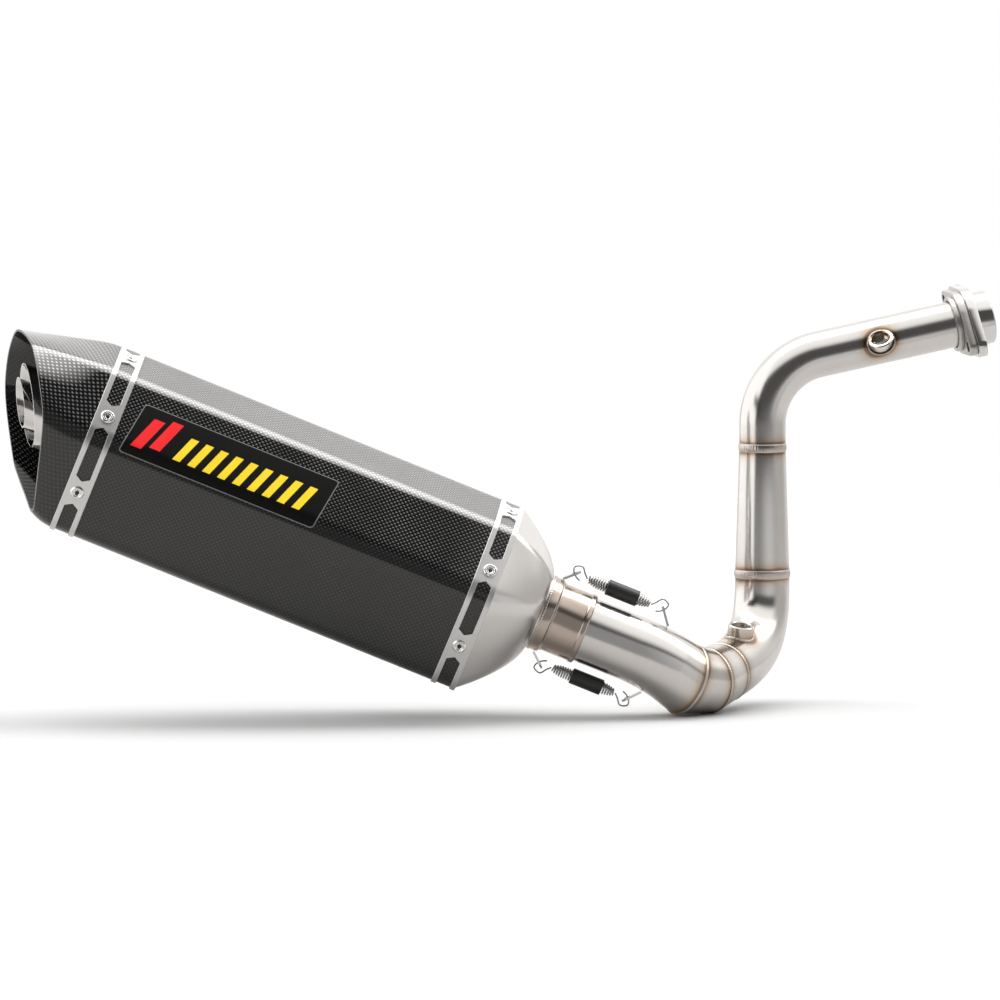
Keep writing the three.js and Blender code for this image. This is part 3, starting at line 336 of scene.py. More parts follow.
def maths(tree, operation, first, second=0.0, third=0.0):
    inputs = {0: first, 1: second, 2: third}
    return node(tree, "ShaderNodeMath", inputs, operation=operation).outputs[0]


def mix(tree, factor, first, second):
    made = node(tree, "ShaderNodeMix", {0: factor, 6: first, 7: second}, data_type="RGBA")
    return made.outputs[2]


def ramp(tree, value, stops):
    """Grey levels between stops of (place from 0 to 1, level)."""
    made = node(tree, "ShaderNodeValToRGB", {0: value})
    band = made.color_ramp
    while len(band.elements) > 1:
        band.elements.remove(band.elements[-1])
    for i, (place, level) in enumerate(stops):
        element = band.elements[0] if i == 0 else band.elements.new(place)
        element.position = place
        element.color = (level, level, level, 1)
    return made.outputs[0]


def noise_of(tree, scale, detail=3, stretch=(1, 1, 1)):
    place = node(tree, "ShaderNodeTexCoord").outputs["Object"]
    mapped = node(tree, "ShaderNodeMapping", {"Vector": place, "Scale": stretch}).outputs[0]
    inputs = {"Vector": mapped, "Scale": scale, "Detail": detail}
    return node(tree, "ShaderNodeTexNoise", inputs).outputs["Fac"]


HEAT_STRAW = (0.40, 0.27, 0.15, 1)
HEAT_BROWN = (0.16, 0.10, 0.075, 1)


def steel(name, colour, roughness, bump=0.02, grain=1200, tinted=True):
    material, tree, shader = new_material(name)
    shader.inputs["Metallic"].default_value = 1
    cloud = noise_of(tree, 45, 4)
    fine = noise_of(tree, grain, 2)
    base = mix(tree, maths(tree, "MULTIPLY", cloud, 0.35), (*colour, 1),
               (colour[0] * 0.8, colour[1] * 0.78, colour[2] * 0.76, 1))
    if tinted:
        heat = node(tree, "ShaderNodeUVMap", uv_map="Heat").outputs[0]
        heat = node(tree, "ShaderNodeSeparateXYZ", {0: heat}).outputs[0]
        wavy = maths(tree, "MULTIPLY", heat, maths(tree, "MULTIPLY_ADD", cloud, 1.0, 0.45))
        straw = maths(tree, "MINIMUM", maths(tree, "MULTIPLY", wavy, 1.1), 0.75)
        brown = maths(tree, "MAXIMUM", maths(tree, "MULTIPLY_ADD", wavy, 2.2, -1.15), 0.0)
        base = mix(tree, straw, base, HEAT_STRAW)
        base = mix(tree, maths(tree, "MINIMUM", brown, 0.85), base, HEAT_BROWN)
    tree.links.new(base, shader.inputs["Base Color"])
    rough = maths(tree, "MULTIPLY_ADD", fine, 0.08, roughness - 0.04)
    tree.links.new(rough, shader.inputs["Roughness"])
    lump = node(tree, "ShaderNodeBump", {"Height": fine, "Strength": bump, "Distance": 0.0004})
    tree.links.new(lump.outputs[0], shader.inputs["Normal"])
    return material


# Painted light on the weave, from facing down (0) to up (1): brightness of the painted glints on the
# tows, and of the ground between them, which carries a painted highlight along the upper rounded corner,
# painted light on the top and a faint painted floor reflection on the undersides.
TOW_PAINTED_GLINT = [(0.0, 0.03), (0.6, 0.04), (0.74, 0.14), (0.785, 0.24), (0.82, 0.7), (0.93, 0.8),
               (0.946, 0.3), (1.0, 0.34)]
WEAVE_GROUND_AND_PAINTED_HIGHLIGHT = [(0.0, 0.016), (0.62, 0.014), (0.72, 0.004), (0.785, 0.005), (0.815, 0.2), (0.93, 0.3),
                (0.946, 0.075), (1.0, 0.1)]


def carbon(name):
    """Plain weave of flat tows under lacquer, laid out by the piece's uv in millimetres, with painted
    glints on the tows and a painted highlight along the upper corner in its base colour.
    """
    material, tree, shader = new_material(name)
    uv = node(tree, "ShaderNodeUVMap", uv_map="UVMap").outputs[0]
    parts = node(tree, "ShaderNodeSeparateXYZ", {0: uv})
    across = maths(tree, "DIVIDE", parts.outputs[0], TOW)
    along = maths(tree, "DIVIDE", parts.outputs[1], TOW)
    total = maths(tree, "ADD", maths(tree, "FLOOR", across), maths(tree, "FLOOR", along))
    weft = maths(tree, "PINGPONG", total, 1.0)
    warp = maths(tree, "SUBTRACT", 1.0, weft)
    in_across = maths(tree, "SUBTRACT", maths(tree, "FRACT", across), 0.5)
    in_along = maths(tree, "SUBTRACT", maths(tree, "FRACT", along), 0.5)

    def crown(width, length):
        rounded = maths(tree, "MULTIPLY_ADD", maths(tree, "POWER", width, 2.0), -3.6, 1.0)
        dip = maths(tree, "POWER", length, 4.0)
        return maths(tree, "MAXIMUM", maths(tree, "MULTIPLY_ADD", dip, -9.0, rounded), 0.0)

    warp_crown = crown(in_across, in_along)
    weft_crown = crown(in_along, in_across)
    height = maths(tree, "MULTIPLY_ADD", warp, warp_crown, maths(tree, "MULTIPLY", weft, weft_crown))
    # Painted light: the glints on the tows and the ground are brightened in the base colour where the
    # surface faces up, so the undersides stay dark.
    up = node(tree, "ShaderNodeSeparateXYZ", {0: node(tree, "ShaderNodeNewGeometry").outputs["Normal"]})
    facing_up = maths(tree, "MULTIPLY_ADD", up.outputs[2], 0.5, 0.5)
    lit = ramp(tree, facing_up, TOW_PAINTED_GLINT)
    ground_and_highlight = ramp(tree, facing_up, WEAVE_GROUND_AND_PAINTED_HIGHLIGHT)
    cloud = maths(tree, "MULTIPLY_ADD", noise_of(tree, 30, 2), 1.4, 0.2)
    # Painted glints: white on the crown of each warp tow, varied by the noise and scaled by how far the
    # surface faces up.
    painted_glint = maths(tree, "MULTIPLY", warp, maths(tree, "POWER", warp_crown, 4.0))
    painted_glint = maths(tree, "MULTIPLY", maths(tree, "MULTIPLY", painted_glint, cloud), lit)
    base = mix(tree, painted_glint, ground_and_highlight, (1.0, 1.0, 1.0, 1))
    tree.links.new(base, shader.inputs["Base Color"])
    shader.inputs["Roughness"].default_value = 0.35
    shader.inputs["Specular IOR Level"].default_value = 0.06
    lump = node(tree, "ShaderNodeBump", {"Height": height, "Strength": 0.5, "Distance": 0.0003})
    tree.links.new(lump.outputs[0], shader.inputs["Normal"])
    shader.inputs["Coat Weight"].default_value = 1
    shader.inputs["Coat Roughness"].default_value = 0.06
    return material


def plain(name, colour, roughness, coat=0.0, grain=900, bump=0.05, sheen=0.0):
    material, tree, shader = new_material(name)
    fine = noise_of(tree, grain, 3)
    shade_of = (colour[0] * 0.7, colour[1] * 0.7, colour[2] * 0.7, 1)
    base = mix(tree, maths(tree, "MULTIPLY", fine, 0.5), (*colour, 1), shade_of)
    tree.links.new(base, shader.inputs["Base Color"])
    shader.inputs["Roughness"].default_value = roughness
    shader.inputs["Coat Weight"].default_value = coat
    shader.inputs["Sheen Weight"].default_value = sheen
    lump = node(tree, "ShaderNodeBump", {"Height": fine, "Strength": bump, "Distance": 0.0005})
    tree.links.new(lump.outputs[0], shader.inputs["Normal"])
    return material


SATIN = steel("satin_steel", (0.62, 0.605, 0.59), 0.19)
CONE = steel("cone_steel", (0.67, 0.66, 0.65), 0.24, tinted=False)
STRAP = steel("strap_steel", (0.66, 0.66, 0.66), 0.42, bump=0.03, tinted=False)
BRIGHT = steel("bright_steel", (0.68, 0.675, 0.67), 0.10, bump=0.01, tinted=False)
WELD = steel("weld_steel", (0.50, 0.465, 0.43), 0.24, bump=0.10, grain=700, tinted=False)
CAST = steel("cast_steel", (0.50, 0.49, 0.48), 0.34, bump=0.12, grain=600, tinted=False)
SPRING = steel("spring_steel", (0.38, 0.375, 0.37), 0.25, tinted=False)
RIVET = steel("rivet_steel", (0.80, 0.80, 0.80), 0.2, tinted=False)
TINTED = steel("heat_tinted_steel", (0.48, 0.405, 0.355), 0.19, tinted=False)
WEAVE = carbon("carbon_weave")
RUBBER = plain("black_rubber", (0.012, 0.012, 0.012), 0.38, bump=0.08)
FIBRE = plain("packing_fibre", (0.55, 0.47, 0.28), 0.95, grain=300, bump=0.6, sheen=0.5)
FILM = plain("badge_film", (0.002, 0.002, 0.002), 0.3, grain=60, bump=0.01)
EDGE = plain("badge_edge", (0.22, 0.22, 0.22), 0.3, grain=60, bump=0.01)
RED = plain("badge_red", (0.95, 0.0, 0.004), 0.35, grain=60, bump=0.01)
YELLOW = plain("badge_yellow", (1.0, 0.74, 0.0), 0.35, grain=60, bump=0.01)
# Near-black painted shade for the hole in each rivet's head.
RIVET_HOLE_SHADE = plain("rivet_hole_painted_shade", (0.01, 0.01, 0.01), 0.25)


# ------------------------------------------------------------------ silencer body outline
def body_outline(arc_steps=12, edge_steps=10):
    """Points of the rounded six-sided outline as (y, z, normal y, normal z, distance)."""
    corners = [Vector(c) for c in BODY_CORNERS]
    arcs = []
    for i, corner in enumerate(corners):
        before = (corners[i - 1] - corner).normalized()
        after = (corners[(i + 1) % 6] - corner).normalized()
        half = math.acos(before.dot(after)) / 2
        centre = corner + (before + after).normalized() * (CORNER_RADII[i] / math.sin(half))
        leave = corner + before * (CORNER_RADII[i] / math.tan(half)) - centre
        arcs.append((centre, CORNER_RADII[i], math.atan2(leave.y, leave.x), math.pi - 2 * half))
    points = []
    for i, (centre, radius, start, sweep) in enumerate(arcs):
        for step in range(arc_steps + 1):
            angle = start + sweep * step / arc_steps
            normal = Vector((math.cos(angle), math.sin(angle)))
            points.append((centre + normal * radius, normal))
        here, normal = points[-1]
        next_centre, next_radius, next_start, _ = arcs[(i + 1) % 6]
        there = next_centre + Vector((math.cos(next_start), math.sin(next_start))) * next_radius
        for step in range(1, edge_steps):
            points.append((here.lerp(there, step / edge_steps), normal))
    return points


OUTLINE = body_outline()
PLACES = [0.0]
for first, second in zip(OUTLINE, OUTLINE[1:] + OUTLINE[:1]):
    PLACES.append(PLACES[-1] + (second[0] - first[0]).length)
PERIMETER = PLACES[-1]


def outline_at(distance):
    wanted = distance % PERIMETER
    i = next(k for k in range(len(OUTLINE)) if PLACES[k + 1] > wanted)
    share = (wanted - PLACES[i]) / (PLACES[i + 1] - PLACES[i])
    (a, normal_a), (b, normal_b) = OUTLINE[i], OUTLINE[(i + 1) % len(OUTLINE)]
    return a.lerp(b, share), normal_a.lerp(normal_b, share).normalized()


def facet_distance(facet, share):
    target = Vector(BODY_CORNERS[facet]).lerp(Vector(BODY_CORNERS[(facet + 1) % 6]), share)
    steps = [PERIMETER * k / 1600 for k in range(1600)]
    return min(steps, key=lambda d: (outline_at(d)[0] - target).length)


RIVET_PLACES = [facet_distance(i, share) for i, share in enumerate(RIVET_SHARES)]


def body_loop(x, offset=0.0):
    return [sil(x, at.x + n.x * offset, at.y + n.y * offset) for at, n in OUTLINE]


def lerp_loops(first, second, share):
    return [a.lerp(b, share) for a, b in zip(first, second)]


# ------------------------------------------------------------------ silencer
SLEEVE_REAR = STRAP_PLACES["rear"] - STRAP_WIDTH / 2 + STRAP_LAP
SLEEVE_FRONT = STRAP_PLACES["front"] + STRAP_WIDTH / 2 - STRAP_LAP

steps = 60
lengths = [SLEEVE_REAR + (SLEEVE_FRONT - SLEEVE_REAR) * k / steps for k in range(steps + 1)]
rows = [body_loop(x) for x in lengths] + [body_loop(x, -CARBON_WALL) for x in reversed(lengths)]
along = lengths + lengths[::-1] + lengths[:1]
points, faces, uvs = skin(rows, across=PLACES, along=along)
finish_mesh("carbon_sleeve_shell", points, faces, WEAVE, "silencer", uvs, 50, ["carbon_sleeve"])


def strap(x):
    """Two rails that part round each window and meet between windows."""
    low_off, high_off, edge = GAP * 0.5, GAP + STRAP_THICKNESS, 0.25
    spots = [k * PERIMETER / 900 for k in range(900)]
    windows = []
    for i, place in enumerate(RIVET_PLACES):
        end = RIVET_PLACES[(i + 1) % 6]
        end += PERIMETER if end < place else 0
        windows.append((place + WINDOW_FROM_RIVET, end - WINDOW_FROM_RIVET))
    for start, end in windows:
        spots += [start, start + WINDOW_POINT, end - WINDOW_POINT, end]
    spots = sorted(spot % PERIMETER for spot in spots)

    def width(spot):
        for start, end in windows:
            for turn in (0, PERIMETER):
                into = min(spot + turn - start, end - spot - turn)
                if into > 0:
                    return WINDOW_WIDTH / 2 * min(1, into / WINDOW_POINT)
        return 0

    parts = []
    for side in (-1, 1):
        rows = []
        for spot in spots:
            at, n = outline_at(spot)
            inner = width(spot)
            bevel = min(edge, inner)
            outer = STRAP_WIDTH / 2
            section = [(outer, low_off), (outer, high_off - edge), (outer - edge, high_off),
                       (inner + bevel, high_off), (inner, high_off - bevel), (inner, low_off)]
            rows.append([sil(x + side * a, at.x + n.x * o, at.y + n.y * o) for a, o in section])
        parts.append(skin(rows))
    return joined(parts)


def rivet_frame(x, distance, lift):
    """A frame whose first coordinate is the height above the outline at a rivet."""
    at, n = outline_at(distance)
    out = Vector((0, n.x, 0)) + AXIS_UP * n.y
    side = out.cross(AXIS)

    def place(height, a, b):
        return sil(x, at.x, at.y) + out * (height + lift) + AXIS * a + side * b

    return place


SEAT = GAP + STRAP_THICKNESS
for end, x in STRAP_PLACES.items():
    points, faces, uvs = strap(x)
    finish_mesh(f"{end}_strap_band", points, faces, STRAP, "silencer", uvs, 35, [f"{end}_strap"])
    for i, distance in enumerate(RIVET_PLACES):
        lift = SEAT + (3.1 if (end, i) == ("front", 5) else 0)
        place = rivet_frame(x, distance, lift)
        head_profile = [(0, 1.6), (0, RIVET_HEAD_RADIUS), (0.45, RIVET_HEAD_RADIUS),
                        (1.35, 4.5), (1.25, 3.6), (0.55, 3.0), (0.6, 2.6), (1.0, 2.3), (0.6, 1.7),
                        (0.2, 1.6)]
        names = [f"{end}_rivet_{i + 1}"]
        lathe(f"{end}_rivet_{i + 1}_head", head_profile, place, RIVET, "silencer", 40, names,
              radius=0.15)
        # A near-black pin fills the hole in each rivet's head: painted shade of the hollow.
        pin = [(-3.4 - lift, 0.01), (-3.4 - lift, 1.5), (0.45, 1.5), (0.75, 0.9), (0.8, 0.01)]
        lathe(f"{end}_rivet_{i + 1}_pin", pin, place, RIVET_HOLE_SHADE, "silencer", 20, radius=0)


def slash_x(slash, y, z):
    x, rise, inward, height = slash
    return x - rise * (z - height) - inward * y


CAP_START = SLEEVE_REAR - GAP
CAP_EASE = 0.2


def cap_point(j, share, inset):
    """(x, y, z) in the silencer's frame, a share of the way along column j of the end cap."""
    at, n = OUTLINE[j]
    angle = math.atan2(at.y, at.x)
    tip = Vector((math.cos(angle) * (53 - inset), 15 + math.sin(angle) * (40 - inset)))
    base = at - n * inset
    eased = share ** 2 / (2 * CAP_EASE) if share < CAP_EASE else share - CAP_EASE / 2
    here = base.lerp(tip, eased / (1 - CAP_EASE / 2))
    return CAP_START - CAP_LENGTH * share, here.x, here.y


def cap_cut(j, inset):
    low_share, high_share = 0.0, 1.3
    for _ in range(30):
        middle = (low_share + high_share) / 2
        x, y, z = cap_point(j, middle, inset)
        if x > slash_x(CAP_SLASH, y, z):
            low_share = middle
        else:
            high_share = middle
    return low_share


cap_steps = 36
outer_cuts = [cap_cut(j, 0) for j in range(len(OUTLINE))]
inner_cuts = [cap_cut(j, CARBON_WALL) for j in range(len(OUTLINE))]
outer_rows = []
inner_rows = []
for k in range(cap_steps + 1):
    share = k / cap_steps
    columns = range(len(OUTLINE))
    outer_rows.append([sil(*cap_point(j, outer_cuts[j] * share, 0)) for j in columns])
    inner_rows.append([sil(*cap_point(j, inner_cuts[j] * share, CARBON_WALL)) for j in columns])
points, faces, _ = skin(outer_rows + inner_rows[::-1])
uvs = []
ends = [cut * CAP_LENGTH for cut in outer_cuts] + [outer_cuts[0] * CAP_LENGTH]
shares = [k / cap_steps for k in range(cap_steps + 1)]
shares += shares[::-1] + [0]
cloth = Matrix.Rotation(CAP_CLOTH_TURN, 2) * (TOW / CAP_TOW)
for k in range(len(shares) - 1):
    for j in range(len(OUTLINE)):
        for a, b in ((0, 0), (0, 1), (1, 1), (1, 0)):
            uvs.append(tuple(cloth @ Vector((PLACES[j + b], -ends[j + b] * shares[k + a]))))
finish_mesh("end_cap_shell", points, faces, WEAVE, "silencer", uvs, 50, ["end_cap"])


def slashed_tube(name, radius, wall, slash, start, material, stands_for, flare=None):
    sides = 96
    angles = [2 * math.pi * j / sides for j in range(sides)]

    def ring(r, share):
        loop = []
        for a in angles:
            y, z = math.cos(a) * r, math.sin(a) * r
            end = slash_x(slash, y, z + BORE_HEIGHT)
            loop.append(bore(start + (end - start) * share, y, z))
        return loop

    shares = [k / 24 for k in range(25)]
    outer = [ring(radius, s) for s in shares]
    lip = [ring(radius - wall * 0.15, 1.003), ring(radius - wall * 0.85, 1.003)]
    inner = [ring(radius - wall, s) for s in reversed(shares)]
    if flare:
        x0, x1, wide = flare
        profile = [(x0, radius), (x1, wide), (x1 + 4, wide), (x1 + 4, wide - wall),
                   (x1 + 0.8, wide - wall), (x0 + 0.8, radius - wall)]
        back = [[bore(x, math.cos(a) * r, math.sin(a) * r) for a in angles] for x, r in profile]
        points, faces, uvs = skin(outer + lip + inner + back[::-1])
    else:
        points, faces, uvs = skin(outer + lip + inner)
    return finish_mesh(name, points, faces, material, "silencer", uvs, 35, stands_for)


OUTLET_START = SLEEVE_REAR
slashed_tube("outlet_tube_shell", OUTLET_RADIUS, PIPE_WALL, OUTLET_SLASH, OUTLET_START, BRIGHT,
             ["outlet_tube"])
flare = (OUTLET_START - 22, OUTLET_START - 6, OUTLET_RADIUS - PIPE_WALL - 0.5)
slashed_tube("outlet_inner_shell", OUTLET_INNER_RADIUS, PIPE_WALL, INNER_SLASH, flare[0], BRIGHT,
             ["outlet_inner_tube"], flare)

# Inlet cap, from the body's outline to its round neck.
CAP_FRONT = SLEEVE_FRONT + GAP
NECK_X = CAP_FRONT + INLET_CAP_LENGTH


def inlet_rows(inset):
    base = body_loop(CAP_FRONT, -inset)
    neck = []
    for at, _ in OUTLINE:
        angle = math.atan2(at.y, at.x)
        r = NECK_RADIUS - inset
        neck.append(bore(CAP_FRONT, math.cos(angle) * r, math.sin(angle) * r))
    rows = []
    count = 40
    for k in range(count + 1):
        share = 1 - (1 - k / count) ** 2.2
        loop = lerp_loops(neck, base, (1 - share) ** 0.63)
        rows.append([p + AXIS * (INLET_CAP_LENGTH * share) for p in loop])
    return rows


outer_rows = inlet_rows(0)
lip = [p + AXIS * 2 for p in outer_rows[-1]]
inner_rows = inlet_rows(1.6)
points, faces, uvs = skin(outer_rows + [lip] + inner_rows[::-1])
finish_mesh("inlet_cap_shell", points, faces, CONE, "silencer", uvs, 40, ["inlet_cap"])

sleeve_bore = LINK_RADIUS + 0.4
sleeve_out = sleeve_bore + PIPE_WALL
sleeve_profile = [
    (SLEEVE_FRONT + 11.5, sleeve_bore), (SLEEVE_FRONT + 11.5, sleeve_out - 0.4),
    (NECK_X - 6, sleeve_out - 0.4), (NECK_X - 6, sleeve_out), (NECK_X + 2.3, sleeve_out),
    (NECK_X + 2.3, NECK_RADIUS + 0.2), (NECK_X + 9.5, NECK_RADIUS - 0.2), (NECK_X + 11, sleeve_out),
    (SLEEVE_END_X - 5, sleeve_out), (SLEEVE_END_X - 4, sleeve_out + 0.8),
    (SLEEVE_END_X - 1, sleeve_out + 0.8), (SLEEVE_END_X, sleeve_out), (SLEEVE_END_X, sleeve_bore),
]
lathe("inlet_sleeve_shell", sleeve_profile, bore, TINTED, "silencer", 128, ["inlet_sleeve"],
      radius=0.5)


# Badge: a plain black film with slanted bars, laid on the outline.
def patch(rear, front, slant, top, drop, lift, thickness, corner=0.0, cells=48):
    rows = []
    start = facet_distance(1, 0.27)
    for k in range(cells + 1):
        down = drop * k / cells
        at, n = outline_at(start + top + down)
        lean = slant * (1 - (top + down) / 48)
        inside = max(0.0, corner - min(down, drop - down))
        rounding = corner - math.sqrt(corner * corner - inside * inside)
        ends = (rear + lean + rounding, front + lean - rounding)
        rows.append([sil(x, at.x + n.x * o, at.y + n.y * o)
                     for x, o in ((ends[0], lift), (ends[1], lift),
                                  (ends[1], lift + thickness), (ends[0], lift + thickness))])
    return capped(rows)


badge = patch(19.5, 184, 7, 0, 48, 0.12, 0.10, 2.5)
finish_mesh("badge_edge_film", *badge[:2], EDGE, "silencer", badge[2], 35, ["badge_plate"])
film = patch(20.3, 183.2, 7, 0.8, 46.4, 0.23, 0.08, 2)
finish_mesh("badge_black_film", *film[:2], FILM, "silencer", film[2], 35)
SLANT = 17
bars = [patch(x, x + w, SLANT, top, drop, 0.32, 0.06)
        for x, w, top, drop in ((24, 9, 10, 30), (37, 9, 6, 30))]
red = joined(bars)
finish_mesh("badge_red_bars", *red[:2], RED, "silencer", red[2], 35)
bars = [patch(58 + 12.6 * k, 58 + 12.6 * k + 6.4, SLANT, 14, 24, 0.32, 0.06) for k in range(9)]
yellow = joined(bars)
finish_mesh("badge_yellow_bars", *yellow[:2], YELLOW, "silencer", yellow[2], 35)


# ------------------------------------------------------------------ pipes
def heading(inward, climb):
    flat = math.cos(math.radians(climb))
    turn = math.radians(inward)
    return Vector((flat * math.cos(turn), flat * math.sin(turn), math.sin(math.radians(climb))))


def pipe_rows(stations, inset, spacing=2.0):
    """Loops round a pipe's stations (place, direction, radius, plane), filled in between."""
    first = stations[0][1]
    away = Vector((0, 1, 0))
    across = (away - first * away.dot(first)).normalized()
    before = first
    rows = []
    for at, direction, radius, plane in stations:
        across = before.rotation_difference(direction) @ across
        before = direction
        up = direction.cross(across)
        loop = []
        for j in range(PIPE_SIDES):
            angle = 2 * math.pi * j / PIPE_SIDES
            radial = across * math.cos(angle) + up * math.sin(angle)
            point = at + radial * (radius - inset)
            slide = (at - point).dot(plane) / direction.dot(plane)
            loop.append(point + direction * slide)
        rows.append(loop)
    fine = [rows[0]]
    for a, b in zip(rows, rows[1:]):
        gap = max((q - p).length for p, q in zip(a, b))
        count = max(1, math.ceil(gap / spacing))
        fine += [lerp_loops(a, b, (k + 1) / count) for k in range(count)]
    return fine


WELD_POINTS = []


def pipe(name, stations, stands_for):
    stations = [s if len(s) == 4 else (*s, s[1]) for s in stations]
    first, last = stations[0], stations[-1]
    stations[0] = (first[0] + first[1] * (GAP / 2), *first[1:])
    stations[-1] = (last[0] - last[1] * (GAP / 2), *last[1:])
    rows = pipe_rows(stations, 0) + pipe_rows(stations, PIPE_WALL)[::-1]
    points, faces, uvs = skin(rows)
    return finish_mesh(name, points, faces, SATIN, "header", uvs, 40, stands_for)


def loop_at(at, direction, radius, plane=None):
    return pipe_rows([(at, direction, radius, plane or direction)], 0)[0]


def bead(name, loop, half_width, height, body, pitch=2.2, heat=True):
    """A rippled weld bead along a closed loop of points that lies on the pipe."""
    centre = sum(loop, Vector()) / len(loop)
    steps = [(b - a).length for a, b in zip(loop, loop[1:] + loop[:1])]
    length = sum(steps)
    count = 5 * round(length / pitch)
    path, walked, k = [], 0.0, 0
    for i in range(count):
        wanted = length * i / count
        while walked + steps[k] < wanted:
            walked += steps[k]
            k += 1
        path.append(loop[k].lerp(loop[(k + 1) % len(loop)], (wanted - walked) / steps[k]))
    ripples = round(length / pitch)
    rows = []
    sides = 12
    for i, point in enumerate(path):
        along = (path[(i + 1) % count] - path[i - 1]).normalized()
        out = point - centre
        out = (out - along * out.dot(along)).normalized()
        side = along.cross(out)
        phase = (i * ripples / count) % 1
        swell = 0.86 + 0.14 * math.cos(2 * math.pi * phase) + 0.04 * math.sin(i * 0.37)
        ring = []
        for j in range(sides):
            a = 2 * math.pi * j / sides
            lag = -0.45 * pitch * math.sin(a) ** 2
            ring.append(point + out * math.cos(a) * height * swell
                        + side * math.sin(a) * half_width * (0.92 + 0.08 * swell) + along * lag)
        rows.append(ring)
    points, faces, uvs = skin(rows)
    if heat:
        WELD_POINTS.extend((point, half_width) for point in path[::3])
    return finish_mesh(name, points, faces, WELD, body, uvs, 60)


# Link pipe.
bend_start = bore(LINK_BEND_X, 0, 0)
bend_toward = Vector((0, math.cos(LINK_BEND_DROP), 0)) - AXIS_UP * math.sin(LINK_BEND_DROP)
bend_centre = bend_start + bend_toward * LINK_BEND_RADIUS
link = [(bore(LINK_START_X, 0, 0), AXIS, LINK_RADIUS)]
for k in range(17):
    angle = LINK_BEND_ANGLE * k / 16
    at = (bend_centre - bend_toward * (LINK_BEND_RADIUS * math.cos(angle))
          + AXIS * (LINK_BEND_RADIUS * math.sin(angle)))
    direction = AXIS * math.cos(angle) + bend_toward * math.sin(angle)
    if k < 12 or k == 16:
        link.append((at, direction, LINK_RADIUS + (LINK_END_RADIUS - LINK_RADIUS) * k / 16))
headings = [heading(*h) for h in ELBOW_HEADINGS]
link_end, link_direction = link[-1][0], link[-1][1]
planes = [(link_direction + headings[0]).normalized(), (headings[0] + headings[1]).normalized(),
          headings[1]]
radii = [LINK_END_RADIUS, *ELBOW_RADII]
starts = [link_end, link_end + headings[0] * ELBOW_LENGTHS[0]]
starts.append(starts[1] + headings[1] * ELBOW_LENGTHS[1])
link[-1] = (link_end, link_direction, LINK_END_RADIUS, planes[0])
link_piece = pipe("link_pipe_shell", link, ["link_pipe"])
segments = []
for i, name in enumerate(("elbow_segment_rear", "elbow_segment_front")):
    stations = [(starts[i + end], headings[i], radii[i + end], planes[i + end]) for end in (0, 1)]
    segments.append(pipe(name + "_shell", stations, [name]))

# Lower bend: a swept curve from the elbow up to the riser.
foot = Vector((RISER_X, RISER_Y, RISER_BOTTOM))
curve = [starts[2], starts[2] + headings[1] * LOWER_BEND_PULL[0],
         foot - Vector((0, 0, LOWER_BEND_PULL[1])), foot]
UP = Vector((0, 0, 1))


def bezier(t):
    a, b, c, d = curve
    at = a * (1 - t) ** 3 + b * (3 * t * (1 - t) ** 2) + c * (3 * t * t * (1 - t)) + d * t ** 3
    direction = (b - a) * (1 - t) ** 2 + (c - b) * (2 * t * (1 - t)) + (d - c) * t * t
    return at, direction.normalized()


samples = [bezier(k / 400)[0] for k in range(401)]
reached = [0.0]
for a, b in zip(samples, samples[1:]):
    reached.append(reached[-1] + (b - a).length)
lower = []
for k in range(41):
    wanted = reached[-1] * k / 40
    i = min(range(401), key=lambda m: abs(reached[m] - wanted))
    at, direction = bezier(i / 400)
    lower.append((at, direction, ELBOW_RADII[1] + (RISER_RADIUS - ELBOW_RADII[1]) * k / 40))
lower.append((Vector((RISER_X, RISER_Y, LOWER_WELD)), UP, RISER_RADIUS))
lower_piece = pipe("lower_bend_shell", lower, ["lower_bend"])
riser = [(Vector((RISER_X, RISER_Y, LOWER_WELD)), UP, RISER_RADIUS),
         (Vector((RISER_X, RISER_Y, UPPER_WELD)), UP, HEADER_RADIUS)]
riser_piece = pipe("riser_cone_shell", riser, ["riser_cone"])

# Header pipe.
header = [(upper(0, 0, UPPER_WELD), UP, HEADER_RADIUS)]
sweep = math.pi / 2 - HEADER_RISE
for k in range(37):
    angle = sweep * k / 36
    at = upper(HEADER_BEND_RADIUS * (1 - math.cos(angle)), 0,
               HEADER_BEND_START + HEADER_BEND_RADIUS * math.sin(angle))
    header.append((at, TURN @ Vector((math.sin(angle), 0, math.cos(angle))), HEADER_RADIUS))
header.append((head(HEADER_STRAIGHT, 0, 0), HEAD_TURN @ Vector((1, 0, 0)), HEADER_RADIUS))
header_piece = pipe("header_pipe_shell", header, ["header_pipe"])

# Welds between the pipes.
bead("weld_link", loop_at(link_end, link_direction, LINK_END_RADIUS, planes[0]), 1.3, 0.55, "header")
bead("weld_elbow", loop_at(starts[1], headings[0], radii[1], planes[1]), 1.3, 0.55, "header")
bead("weld_bend", loop_at(starts[2], headings[1], radii[2]), 1.3, 0.55, "header")
bead("weld_riser_low", loop_at(Vector((RISER_X, RISER_Y, LOWER_WELD)), UP, RISER_RADIUS), 3.4, 0.8,
     "header")
bead("weld_riser_top", loop_at(Vector((RISER_X, RISER_Y, UPPER_WELD)), UP, HEADER_RADIUS), 3.4, 0.8,
     "header")


def ring_loop(place, x, radius, sides=72):
    angles = [2 * math.pi * j / sides for j in range(sides)]
    return [place(x, math.cos(a) * radius, math.sin(a) * radius) for a in angles]


bead("weld_neck", ring_loop(bore, NECK_X + 1.9, NECK_RADIUS + 0.1), 1.1, 0.6, "silencer", heat=False)
bead("weld_collar", ring_loop(bore, NECK_X + 10.6, sleeve_out + 0.2), 1.0, 0.6, "silencer", heat=False)

